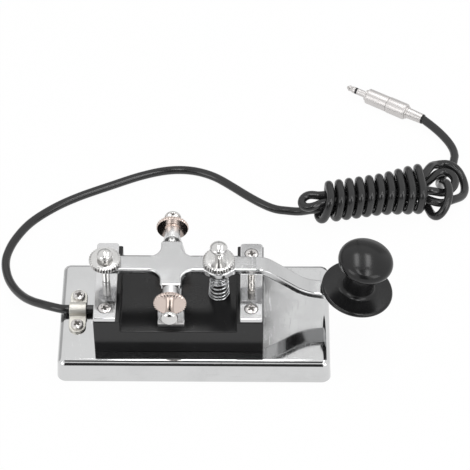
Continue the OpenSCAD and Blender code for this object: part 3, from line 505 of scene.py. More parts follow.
class Recipe:
    """Nodes of one material or of the world."""

    def __init__(self, tree: bpy.types.NodeTree) -> None:
        """Start from an empty tree."""
        tree.nodes.clear()
        self.tree = tree

    def node(self, kind: str, sockets: dict[str | int, Any] | None = None, output: str | int = 0,
             **settings: Any) -> Signal:
        """Add a node, set it up, then fill its sockets.

        Args:
            kind: the node's type.
            sockets: values or signals for its inputs, by name or place.
            output: which output to hand on.
            settings: the node's own settings.

        Returns:
            The chosen output.
        """
        made = self.tree.nodes.new(kind)
        for name, value in settings.items():
            setattr(made, name, value)
        for name, value in (sockets or {}).items():
            if isinstance(value, Signal):
                self.tree.links.new(value.socket, made.inputs[name])
            elif isinstance(value, tuple) and len(value) == 3 and made.inputs[name].type == "RGBA":
                made.inputs[name].default_value = (*value, 1)
            else:
                made.inputs[name].default_value = value
        return Signal(self, made.outputs[output] if len(made.outputs) else None)

    def outputs(self, kind: str, names: Iterable[str | int], source: Signal | None = None) -> list[Signal]:
        """Several outputs of one new node, whose first input may be fed."""
        outs = self.node(kind, {0: source} if source else None).socket.node.outputs
        return [Signal(self, outs[name]) for name in names]

    def place(self, scale: Sequence[float] = (1, 1, 1), source: str = "Object") -> Signal:
        """Coordinates on the piece, stretched by a scale."""
        where = self.node("ShaderNodeTexCoord", output=source)
        return self.node("ShaderNodeMapping", {"Vector": where, "Scale": tuple(scale)})

    def noise(self, vector: Signal, scale: float, detail: float, roughness: float = 0.55) -> Signal:
        """Soft cloudy value round one half."""
        return self.node(
            "ShaderNodeTexNoise", {"Vector": vector, "Scale": scale, "Detail": detail, "Roughness": roughness}
        )

    def mix(self, factor: Signal | float, first: Any, second: Any) -> Signal:
        """Colour between two others."""
        return self.node(
            "ShaderNodeMix", {0: factor, 6: first, 7: second}, output=2, data_type="RGBA", clamp_factor=True
        )

    def bump(self, height: Signal, depth: float) -> Signal:
        """Surface normal tilted by a height, whose full step is depth metres."""
        return self.node("ShaderNodeBump", {"Height": height, "Distance": depth, "Strength": 1.0})

    def surface(self, **sockets: Any) -> None:
        """Close the material with a glossy surface; underscores stand for spaces in socket names."""
        named = {name.replace("_", " "): value for name, value in sockets.items()}
        shader = self.node("ShaderNodeBsdfPrincipled", named)
        self.node("ShaderNodeOutputMaterial", {"Surface": shader})


class Grain(Enum):
    """How a metal was worked."""

    POLISHED = "polished"
    TURNED = "turned"
    BRUSHED = "brushed"


# Stretch of a grain's tool marks, and the coordinates that they follow
TOOL_MARKS = {Grain.TURNED: ((0.6, 9.0, 1), "UV"), Grain.BRUSHED: ((60, 5200, 5200), "Object")}


def shaded(colour: Colour, share: float) -> Colour:
    """Colour made darker or paler by one factor."""
    return tuple(share * c for c in colour)


class Finish:
    """What all finishes have: a name, nodes of their own and, on pieces, a slot."""

    name: str
    slot: str

    def dress(self, r: Recipe) -> None:
        """Lay out the finish's nodes."""
        raise NotImplementedError

    def make(self) -> bpy.types.Material:
        """Build the material.

        Returns:
            The finished material.
        """
        material = bpy.data.materials.new(self.name)
        material.use_nodes = True
        self.dress(Recipe(material.node_tree))
        return material


@dataclass(frozen=True)
class PlatedMetal(Finish):
    """Plated metal with handling haze, hairline scratches and, where turned or brushed, its tool marks."""

    name: str
    tint: Colour
    roughness: float
    haze: float
    scratch: float
    grain: Grain = Grain.POLISHED
    slot: str = "chrome_plate"
    polish_depth: float = 0.0000022
    mark_depth: float = 0.000006
    worn: float = 0.86

    def dress(self, r: Recipe) -> None:
        """Lay a cloudy haze and crossed hairlines, with the tool marks in the bump.

        Args:
            r: nodes of the material.
        """
        spot = r.place()
        cloud = r.noise(spot, 55, 4).between(0.42, 0.72)
        hairs = r.noise(r.place((1500, 90, 900)), 1, 2).between(0.60, 0.72)
        cross = r.noise(r.place((80, 1700, 900)), 1, 2).between(0.63, 0.74)
        lines = hairs.top(cross)
        height, depth = r.noise(spot, 2600, 2) * 0.25 + lines * 0.6, self.polish_depth
        if self.grain in TOOL_MARKS:
            height, depth = height + r.noise(r.place(*TOOL_MARKS[self.grain]), 1, 3, 0.7), self.mark_depth
        r.surface(
            Base_Color=r.mix(cloud * 0.45 + lines * 0.35, self.tint, shaded(self.tint, self.worn)),
            Metallic=1.0,
            Roughness=self.roughness + cloud * self.haze + lines * self.scratch,
            Normal=r.bump(height, depth),
        )


@dataclass(frozen=True)
class BlackMoulding(Finish):
    """Polished black moulding: flow shade, faint haze, hairlines and a little dust."""

    name: str
    shade: float
    roughness: float
    dust: float
    sheen: float
    slot: str = "black_gloss"
    flow_tint: Colour = (1.7, 1.7, 1.8)
    dust_tint: Colour = (0.16, 0.155, 0.15)
    depth: float = 0.0000035

    def dress(self, r: Recipe) -> None:
        """Lay the flow of the moulding, dust specks in patches, and hairlines.

        Args:
            r: nodes of the material.
        """
        spot = r.place()
        flow = r.noise(r.place((30, 70, 18)), 1, 4)
        cells = r.node("ShaderNodeTexVoronoi", {"Vector": spot, "Scale": 620.0})
        thin = r.noise(spot, 140, 3).between(0.52, 0.70)
        specks = cells.between(0.13, 0.05) * thin
        hairs = r.noise(r.place((1300, 70, 600)), 1, 2).between(0.64, 0.74)
        base = r.mix(flow, (self.shade,) * 3, shaded(self.flow_tint, self.shade))
        r.surface(
            Base_Color=r.mix(specks * self.dust, base, self.dust_tint),
            Roughness=self.roughness + flow * 0.08 + specks * 0.35 + hairs * 0.10,
            Specular_IOR_Level=self.sheen,
            Normal=r.bump(r.noise(spot, 900, 3) + hairs * 0.5, self.depth),
        )


@dataclass(frozen=True)
class CordSheath(Finish):
    """Drawn flexible sheath: fine lines along its length, mottle, and scuffs that catch the light."""

    name: str
    shade: Colour = (0.0135, 0.0135, 0.0138)
    roughness: float = 0.12
    slot: str = "cord_sheath"
    lines_round: float = 9
    lines_along: float = 0.05
    pale: float = 2.1
    depth: float = 0.00003

    def dress(self, r: Recipe) -> None:
        """Lay the drawn lines on a ring round the cord, so that they meet, with mottle and scuffs.

        Args:
            r: nodes of the material.
        """
        spot = r.place()
        share, along = r.outputs("ShaderNodeSeparateXYZ", (0, 1), r.node("ShaderNodeTexCoord", output="UV"))
        turn = share * (2 * math.pi)
        ring = r.node("ShaderNodeCombineXYZ", {
            0: turn.math("COSINE", turn) * self.lines_round,
            1: turn.math("SINE", turn) * self.lines_round,
            2: along * self.lines_along,
        })
        lines = r.noise(ring, 1, 3, 0.65)
        mottle = r.noise(spot, 210, 4)
        scuff = r.noise(spot, 75, 5, 0.7).between(0.58, 0.76)
        mixed = lines * 0.35 + mottle * 0.25 + scuff * 0.35
        r.surface(
            Base_Color=r.mix(mixed, self.shade, shaded(self.shade, self.pale)),
            Roughness=self.roughness + mottle * 0.06 + scuff * 0.12,
            Normal=r.bump(lines * 0.25 + r.noise(spot, 1900, 3) * 0.12, self.depth),
        )


@dataclass(frozen=True)
class MattRubber(Finish):
    """Matt rubber with a fine grain and worn paler patches."""

    name: str
    shade: Colour = (0.030, 0.030, 0.030)
    slot: str = "pad_rubber"
    roughness: float = 0.68
    pale: float = 1.9
    depth: float = 0.00006

    def dress(self, r: Recipe) -> None:
        """Lay the grain and the worn patches.

        Args:
            r: nodes of the material.
        """
        spot = r.place()
        worn = r.noise(spot, 40, 5).between(0.45, 0.75)
        grain = r.noise(spot, 1500, 3)
        r.surface(
            Base_Color=r.mix(worn * 0.5 + grain * 0.2, self.shade, shaded(self.shade, self.pale)),
            Roughness=self.roughness + worn * 0.15,
            Normal=r.bump(grain, self.depth),
        )


@dataclass(frozen=True)
class PaleFloor(Finish):
    """Pale floor that shows white and keeps a soft shadow."""

    name: str = "pale_floor"
    cloth: Colour = (0.86, 0.86, 0.86)
    white: float = 0.97

    def dress(self, r: Recipe) -> None:
        """Mix a white glow over the cloth, for the rays that see the floor.

        Args:
            r: nodes of the material.
        """
        camera, glossy, through = r.outputs("ShaderNodeLightPath", RAYS)
        seen = camera + glossy + through
        cloth = r.node("ShaderNodeBsdfDiffuse", {"Color": self.cloth})
        glow = r.node("ShaderNodeEmission", {"Color": (1, 1, 1), "Strength": 1.0})
        both = r.node("ShaderNodeMixShader", {0: seen * self.white, 1: cloth, 2: glow})
        r.node("ShaderNodeOutputMaterial", {"Surface": both})


class Wardrobe:
    """All finishes of the key, each made once."""

    chrome = PlatedMetal("bright_chrome", (0.635, 0.638, 0.64), 0.05, 0.05, 0.08)
    bar_plate = PlatedMetal("bar_plate", (0.66, 0.66, 0.665), 0.10, 0.06, 0.08)
    lever_plate = PlatedMetal("lever_plate", (0.57, 0.572, 0.575), 0.10, 0.07, 0.10)
    nickel = PlatedMetal("turned_nickel", (0.66, 0.655, 0.645), 0.09, 0.06, 0.08, Grain.TURNED, "nickel")
    copper_nickel = PlatedMetal(
        "copper_tinted_nickel", (0.66, 0.56, 0.51), 0.12, 0.06, 0.08, Grain.TURNED, "warm_nickel")
    # Dark metal that paints the shade in knurl grooves and at the bottom of cross recesses
    hollow_shade = PlatedMetal("painted_hollow_shade", (0.09, 0.085, 0.08), 0.35, 0.08, 0.08, Grain.POLISHED, "nickel")
    yoke = PlatedMetal("satin_yoke_plate", (0.70, 0.70, 0.70), 0.34, 0.06, 0.08)
    contact = PlatedMetal(
        "silvered_contact", (0.76, 0.73, 0.69), 0.24, 0.08, 0.08, Grain.TURNED, "warm_nickel")
    screw = PlatedMetal("screw_nickel", (0.62, 0.60, 0.59), 0.14, 0.08, 0.08, Grain.POLISHED, "nickel")
    clamp = PlatedMetal("satin_clamp_nickel", (0.66, 0.645, 0.60), 0.42, 0.08, 0.08, Grain.BRUSHED, "nickel")
    plug = PlatedMetal("pale_plug_nickel", (0.62, 0.60, 0.59), 0.40, 0.06, 0.06, Grain.POLISHED, "nickel")
    steel = PlatedMetal("spring_steel", (0.60, 0.61, 0.62), 0.12, 0.08, 0.08, Grain.POLISHED, "steel")
    block = BlackMoulding("black_block", 0.008, 0.12, 0.55, 0.33)
    knob = BlackMoulding("black_knob", 0.007, 0.14, 0.25, 0.34)
    cord = CordSheath("cord_sheath")
    red_wire = CordSheath("red_wire", (0.42, 0.035, 0.030), 0.42, "wire_red")
    black_wire = CordSheath("black_wire", (0.022, 0.022, 0.022), 0.42, "wire_black")
    pad = MattRubber("pad_rubber")

    def __init__(self) -> None:
        """Start with nothing made."""
        self.made: dict[str, bpy.types.Material] = {}

    def material(self, finish: Finish) -> bpy.types.Material:
        """Material of a finish, made on first use.

        Args:
            finish: what to look up.

        Returns:
            The finish's one material.
        """
        if finish.name not in self.made:
            self.made[finish.name] = finish.make()
        return self.made[finish.name]


class Workshop:
    """Makes pieces from surfaces, dresses them and fixes them to their bodies."""

    def __init__(self) -> None:
        """Open with an empty wardrobe."""
        self.wardrobe = Wardrobe()

    def piece(self, name: str, shell: Shell, finish: Finish, body: str, *nodes: str,
              sharp: float = 32) -> bpy.types.Object:
        """Make a mesh object, dress it, fix it to a body and let it stand for solids.

        Args:
            name: of the piece.
            shell: its surface in mm.
            finish: what it is dressed in.
            body: what it moves with, or nothing for a piece fixed to no body.
            nodes: the solids that it stands for.
            sharp: edges steeper than this many degrees stay sharp.

        Returns:
            The finished object.
        """
        mesh = bpy.data.meshes.new(name)
        faces = shell.quads.tolist() + [cap.tolist() for cap in shell.caps]
        mesh.from_pydata((shell.points * MM).tolist(), [], faces)
        corners = np.vstack([shell.quad_map.reshape(-1, 2), *shell.cap_map])
        mesh.uv_layers.new(name="surface").uv.foreach_set("vector", corners.astype(np.float32).ravel())
        mesh.shade_smooth()
        mesh.set_sharp_from_angle(angle=math.radians(sharp))
        mesh.validate()
        mesh.materials.append(self.wardrobe.material(finish))
        made = bpy.data.objects.new(name, mesh)
        bpy.context.scene.collection.objects.link(made)
        if body:
            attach(made, body)
        if nodes:
            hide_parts(*nodes)
        LOG.info("%s: %d faces on %s, for %s", name, len(faces), body, ", ".join(nodes) or "no solid")
        return made

    def repaint(self, finish: Finish, *nodes: str) -> None:
        """Dress solids that keep their own shape.

        Args:
            finish: what they are dressed in.
            nodes: the solids.
        """
        for name in nodes:
            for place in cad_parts[name].material_slots:
                place.material = self.wardrobe.material(finish)
            LOG.info("%s: kept, in %s", name, finish.name)


# Picture

@dataclass(frozen=True)
class Lamp:
    """Soft rectangular lamp, aimed at a point, with the brightness of its face."""

    name: str
    place: Point
    aim: Point
    width: float
    height: float
    glow: float

    def make(self) -> None:
        """Hang the lamp; its power is glow times pi times its area."""
        data = bpy.data.lights.new(self.name, "AREA")
        data.shape = "RECTANGLE"
        data.size, data.size_y = self.width, self.height
        data.energy = self.glow * math.pi * self.width * self.height
        lamp = bpy.data.objects.new(self.name, data)
        lamp.location = self.place
        lamp.rotation_euler = (Vector(self.aim) - Vector(self.place)).to_track_quat("-Z", "Y").to_euler()
        bpy.context.scene.collection.objects.link(lamp)


@dataclass
class Studio:
    """Camera, pale floor, world and lamps."""

    place: Point = (30.203, -778.501, 954.787)
    yaw: float = 0.747
    pitch: float = 48.6
    roll: float = -0.285
    focal: float = 2474.187
    pixels: float = 470
    sensor: float = 36
    clip: tuple[float, float] = (0.05, 50)
    floor_reach: float = 6
    dark: float = 0.97
    dim: float = 0.45
    fill: float = 0.55
    lamps: tuple[Lamp, ...] = (
        Lamp("left_back", (-0.04, 0.68, 1.7), (-0.04, 0.68, 0), 0.23, 1.13, 5.0),
        Lamp("right_back", (0.67, 0.68, 1.7), (0.67, 0.68, 0), 0.31, 1.13, 5.0),
        Lamp("left_front", (-0.04, -0.65, 1.7), (-0.04, -0.65, 0), 0.23, 1.06, 5.0),
        Lamp("right_front", (0.67, -0.65, 1.7), (0.67, -0.65, 0), 0.31, 1.06, 5.0),
        Lamp("left_side", (-1.0, -0.9, 0.8), (0, 0, 0.03), 0.7, 0.9, 2.0),
        Lamp("right_side", (1.05, -0.9, 0.8), (0, 0, 0.03), 0.7, 0.9, 2.0),
    )

    def camera(self) -> None:
        """Set up the camera: forward from yaw and pitch, then rolled about it."""
        yaw, pitch, roll = np.radians([self.yaw, self.pitch, self.roll])
        forward = np.array([-np.sin(yaw) * np.cos(pitch), np.cos(yaw) * np.cos(pitch), -np.sin(pitch)])
        right = np.array([np.cos(yaw), np.sin(yaw), 0])
        up = np.cross(right, forward)
        across = np.cos(roll) * right + np.sin(roll) * up
        above = -np.sin(roll) * right + np.cos(roll) * up
        turn = np.eye(4)
        turn[:3, :3] = np.stack([across, above, -forward], 1)
        turn[:3, 3] = np.array(self.place) * MM
        data = bpy.data.cameras.new("camera")
        data.sensor_fit = "HORIZONTAL"
        data.sensor_width = self.sensor
        data.lens = self.focal * self.sensor / self.pixels
        data.clip_start, data.clip_end = self.clip
        camera = bpy.data.objects.new("camera", data)
        camera.matrix_world = Matrix(turn.tolist())
        bpy.context.scene.collection.objects.link(camera)
        bpy.context.scene.camera = camera
        LOG.info("camera: lens %.1f mm", data.lens)

    def floor(self) -> None:
        """Lay a square of pale floor."""
        h = self.floor_reach
        mesh = bpy.data.meshes.new("floor")
        mesh.from_pydata([(-h, -h, 0), (h, -h, 0), (h, h, 0), (-h, h, 0)], [], [(0, 1, 2, 3)])
        mesh.materials.append(PaleFloor().make())
        ground = bpy.data.objects.new("floor", mesh)
        bpy.context.scene.collection.objects.link(ground)

    def world(self) -> None:
        """White room, in which bright metal also sees dark gaps and a dim wall.

        Gaps and wall are ranges of a ray's direction. The first gap is on the camera's side, lower than the
        lamps; the second is over it, between the lamps; the wall is low behind, from the left to past the
        middle.
        """
        world = bpy.data.worlds.new("white_room")
        bpy.context.scene.world = world
        world.use_nodes = True
        r = Recipe(world.node_tree)
        seen, glossy, through = r.outputs("ShaderNodeLightPath", RAYS)
        mirrored = glossy + through
        x, y, z = r.outputs("ShaderNodeSeparateXYZ", range(3), r.node("ShaderNodeTexCoord", output="Object"))
        gap = (abs(x) / (0 - y).top(0.02)).between(0.34, 0.24)
        ahead = gap * z.between(0.0, 0.02) * z.between(0.83, 0.81)
        above = abs(x).between(0.24, 0.18) * y.between(-0.03, -0.08) * z.between(0.86, 0.88)
        left = (x / y.top(0.02)).between(0.9, 0.7)
        wall = left * y.between(0.1, 0.25) * z.between(0.03, 0.10) * z.between(0.52, 0.40)
        room = 1 - self.dark * ahead - self.dark * above - self.dim * wall
        level = seen + (1 - seen) * (mirrored * room + (1 - mirrored) * self.fill)
        back = r.node("ShaderNodeBackground", {"Color": (1, 1, 1), "Strength": level})
        r.node("ShaderNodeOutputWorld", {"Surface": back})

    def flag(self, lamp: str, *pieces: str) -> None:
        """Keep a lamp's light off some pieces, as a flag on a stand does.

        Args:
            lamp: the lamp's name.
            pieces: the pieces' names.
        """
        spared = bpy.data.collections.new(f"off_{lamp}")
        for piece in pieces:
            spared.objects.link(bpy.data.objects[piece])
        for entry in spared.collection_objects:
            entry.light_linking.link_state = "EXCLUDE"
        bpy.data.objects[lamp].light_linking.receiver_collection = spared

    def make(self) -> None:
        """Set up the whole picture."""
        self.camera()
        self.floor()
        self.world()
        for lamp in self.lamps:
            lamp.make()
        bpy.context.scene.view_settings.view_transform = "Standard"


# Pieces of the key

@dataclass
class Hank:
    """Wrapped hank: four strands, looped at both ends, and the wraps over them.

    In its own frame X runs along the strands, with the middle of the wraps at zero. The four strands lie at
    two levels, low and high. The line goes through them in turn, then dives under them to start the wraps.
    """

    diameter: float
    table: float
    strand_gap: float = 0.55
    lift: float = 0.15
    wraps: int = 10
    pitch: float = 5.3
    outer_r: float = 13.0
    nest: float = 0.4
    loop_reach: float = 10.4
    fan_back: float = 5.0
    flare: float = 3.6
    bight_r: float = 4.3
    bight_reach: float = 7.4
    shift: float = 2.6
    lean: float = 0.7
    power: float = 0.58
    sway: float = 5.5
    place: Point = (90.8, 82.3, 0)
    turn: float = 11.0

    def __post_init__(self) -> None:
        """Work out the levels and stations that the strands share."""
        self.strand = self.diameter + self.strand_gap
        self.half = self.strand / 2
        self.low = self.table + self.strand + self.lift
        self.high = self.low + self.strand
        self.wrap_r = self.low + self.half - self.table
        self.last = self.wraps * self.pitch / 2
        self.first = -self.last
        self.fan_x, self.loop_x = self.last - self.fan_back, self.last + self.loop_reach
        self.bight_x = self.first - self.bight_reach

    def fan(self, x: Array, radius: float) -> Array:
        """Distance from the middle as the strands spread into a loop."""
        return self.half + (radius - self.half) * ease((x - self.fan_x) / (self.loop_x - self.fan_x))

    def squared(self, x: Array) -> Array:
        """Power of a value, with its sign kept, which squares the wraps a little."""
        return np.sign(x) * np.abs(x) ** self.power

    def wrap(self, angles: Any) -> Array:
        """Points of the wraps, as squared circles that move on by the pitch and widen in the second half.

        Args:
            angles: in degrees, which count on through all turns.

        Returns:
            Points in the hank's frame.
        """
        a = np.asarray(angles, float)
        wide = self.wrap_r + self.flare * ease((a / 360 / self.wraps - 0.5) * 2)
        c, s = np.cos(np.radians(a)), np.sin(np.radians(a))
        x = self.first + self.pitch * a / 360 - self.lean * c - self.shift * (1 - ease(a / 180))
        return rows(x, -wide * self.squared(s), self.table + self.wrap_r - self.wrap_r * self.squared(c))

    def loop(self, x: float, radius: float, angles: Array, height: Array) -> Array:
        """Points of an arc about a station on the middle line, its angles in degrees."""
        return around(radius, np.radians(angles), height) + [x, 0, 0]

    def lead_in(self) -> Array:
        """Lead that climbs from the table into the first strand.

        Returns:
            Points in the hank's frame.
        """
        x, table, low, half = self.first, self.table, self.low, self.half
        begin = np.array([x - 19.7, 4.9, table])
        straight = np.array([x - 15.5, 3.5, table])
        climb = spline(np.array([
            straight, [x - 11.2, 1.7, table + 0.9], [x - 7.5, -0.6, low - 1.3],
            [x - 4.2, -half + 0.3, low + 0.1], [x, -half, low],
        ]), 2)
        return np.vstack([begin, (begin + straight) / 2, climb])

    def outer_loop(self, out: Array) -> Array:
        """Right loop from the first strand, which dips to the table and climbs to the second.

        Args:
            out: stations on the way out.

        Returns:
            Points in the hank's frame.
        """
        back, a = out[::-1], np.arange(-90.0, 91, 15)
        dip = self.low - self.strand * (ease((a + 90) / 60) - ease((a + 5) / 50))
        climb = self.high + (self.low - self.high) * ease((back - self.last - 2.6) / 12)
        return np.vstack([
            rows(out, -self.fan(out, self.outer_r), self.low),
            self.loop(self.loop_x, self.outer_r, a, dip),
            rows(back, self.fan(back, self.outer_r), climb),
        ])

    def left_loop(self) -> Array:
        """Left loop from the second strand to the third, at the high level and a little lower at its end.

        Returns:
            Points in the hank's frame.
        """
        t, bend = np.arange(1, 4) / 4, np.arange(90.0, 271, 30)
        x = self.first + (self.bight_x - self.first) * t
        y = self.half + (self.bight_r - self.half) * ease(t)
        return np.vstack([
            rows(x, y, self.high),
            self.loop(self.bight_x, self.bight_r, bend, self.high + 1.2 * np.cos(np.radians(bend))),
            rows(x[::-1], -y[::-1], self.high),
        ])

    def inner_loop(self, out: Array) -> Array:
        """Right loop from the third strand down to the fourth, inside the other loop.

        Args:
            out: stations on the way out.

        Returns:
            Points in the hank's frame.
        """
        back, a = out[::-1], np.arange(-90.0, 91, 20)
        radius = self.outer_r - self.strand - self.nest
        fall = self.high + (self.low - self.high) * ease((out - self.last - 2.2) / 12)
        return np.vstack([
            rows(out, -self.fan(out, radius), fall),
            self.loop(self.loop_x, radius, a, self.low + 1.1 - 1.1 * ease((a + 90) / 40)),
            rows(back, self.fan(back, radius), self.low),
        ])

    def under(self) -> Array:
        """End of the fourth strand, which dives under the others and starts the wraps.

        Returns:
            Points in the hank's frame.
        """
        x, table, low, half = self.first, self.table, self.low, self.half
        dive = [
            [x + 3.5, half, low], [x + 0.6, half - 0.1, low - 1.2], [x - 1.9, 1.2, table + 1.5],
            [x - 3.1, -1.8, table],
        ]
        return spline(np.vstack([dive, self.wrap([30])]), 3)

    def tail(self) -> Array:
        """End of the wraps, over the bundle and down to the table, with one straight step.

        Returns:
            Points in the hank's frame.
        """
        table, low, high = self.table, self.low, self.high
        points = np.array([
            [0.8, -6.6, table], [1.6, -12.6, table + 0.6], [3.6, -16.9, table + 3], [6.8, -17.8, low + 1.6],
            [10, -15.2, high], [11.4, -10.8, high + 1.3], [11.4, -6.2, high + 1.2], [10.7, -1.8, low + 2.6],
            [10.4, 1.2, table + 2.6], [10.8, 5, table + 0.1], [13.4, 8.4, table], [17.2, 10.6, table],
            [20, 13, table], [21.6, 16.4, table],
        ]) + [self.last, 0, 0]
        line = spline(np.vstack([self.wrap([360 * self.wraps]), points]), 3)
        return np.vstack([line[1:], line[-1:] + self.diameter * unit(line[-1:] - line[-2:-1])])

    def path(self) -> Array:
        """Middle line of the hank, bowed aside at its right end, smoothed once and turned into place.

        Returns:
            Points in mm, in order from the lead to the tail.
        """
        half, low, high = self.half, self.low, self.high
        run = self.first + (self.fan_x - self.first) * np.arange(6) / 5
        out = self.fan_x + (self.loop_x - self.fan_x) * np.arange(1, 8) / 8
        turns = self.wrap(15.0 * np.arange(3, 24 * self.wraps + 1))
        line = np.vstack([
            self.lead_in(), rows(run[1:], -half, low), self.outer_loop(out), rows(run[::-1], half, high),
            self.left_loop(), rows(run, -half, high), self.inner_loop(out), rows(run[:0:-1], half, low),
            self.under(), turns, self.tail(),
        ])
        line[:, 1] += self.sway * ease((line[:, 0] - self.last) / 17)
        soft = line.copy()
        soft[2:-2] = (line[1:-3] + 2 * line[2:-2] + line[3:-1]) / 4
        c, s = math.cos(math.radians(self.turn)), math.sin(math.radians(self.turn))
        return soft @ np.array([[c, s, 0], [-s, c, 0], [0, 0, 1]]) + np.array(self.place)


@dataclass
class JackPlug:
    """Jack plug: five pieces turned about its own line, and the dark ring in its mouth."""

    place: Point = (118.5, 142.5, 4.45)
    turn: float = 149.0
    collar_d: float = 5.9
    collar_l: float = 9.6
    barrel_d: float = 8.8
    barrel_l: float = 24.0
    front_share: float = 0.53
    sleeve_d: float = 3.5
    shaft_l: float = 12.5
    sleeve_share: float = 0.48
    ring_share: float = 0.1
    segments: int = 64

    @property
    def way(self) -> Array:
        """Direction that the plug points in."""
        a = math.radians(self.turn)
        return np.array([math.cos(a), math.sin(a), 0])

    def set_in(self, shell: Shell, along: float) -> Shell:
        """Carry a turned piece to its place along the plug."""
        return shell.moved(np.array(self.place) + along * self.way, (-self.way[1], self.way[0], 0), self.way)

    def make(self, shop: Workshop) -> list[bpy.types.Object]:
        """Make the dark ring in the mouth, then the pieces from the cord's end to the tip.

        Args:
            shop: where pieces are made.

        Returns:
            The pieces.
        """
        b, c, s = self.barrel_d / 2, self.collar_d / 2, self.sleeve_d / 2
        cl, bl = self.collar_l, self.barrel_l
        rear = bl - bl * self.front_share
        sleeve, ring = self.shaft_l * self.sleeve_share, self.shaft_l * self.ring_share
        tip = self.shaft_l - sleeve - ring
        mouth = lathe(section([[c - 0.4, -0.6], [c - 0.3, -0.5], [c - 0.3, 0.3]]), 48)
        # Dark ring at the collar's mouth
        pieces = [shop.piece("plug_grommet", self.set_in(mouth, 0), Wardrobe.knob, "base")]
        along = 0.0
        for node, length, corners, radii in (
            ("plug_collar", cl, [[c - 0.3, 0], [c, cl - 0.8], [c + 0.5, cl - 0.8], [c + 0.5, cl]],
             [0.25, 0.2, 0.15, 0.1]),
            ("plug_barrel", bl, [[b - 0.6, 0], [b, 0.6], [b, rear - 0.5], [b - 0.5, rear - 0.5],
                                 [b - 0.5, rear], [b - 0.2, rear], [b - 0.2, bl - 0.6], [b - 0.8, bl]],
             [0.2, 0.3, 0.15, 0.1, 0.1, 0.12, 0.3, 0.2]),
            ("plug_sleeve", sleeve, [[s + 1.2, 0], [s + 1.2, 1], [s, 1], [s, sleeve]], [0.1, 0.25, 0.15, 0]),
            ("plug_ring", ring, [[s, 0], [s, ring]], [0.05, 0.05]),
            ("plug_tip", tip, [[s, 0], [s, tip * 0.25], [s - 0.5, tip * 0.55], [s - 0.05, tip * 0.685],
                               [0.5, tip]],
             [0, 0.4, 0.5, 0.3, 0.25]),
        ):
            shell = self.set_in(lathe(section(corners, radii), self.segments), along)
            finish = Wardrobe.knob if node == "plug_ring" else Wardrobe.plug
            pieces.append(shop.piece(node + "_turned", shell, finish, "base", node))
            along += length
        return pieces


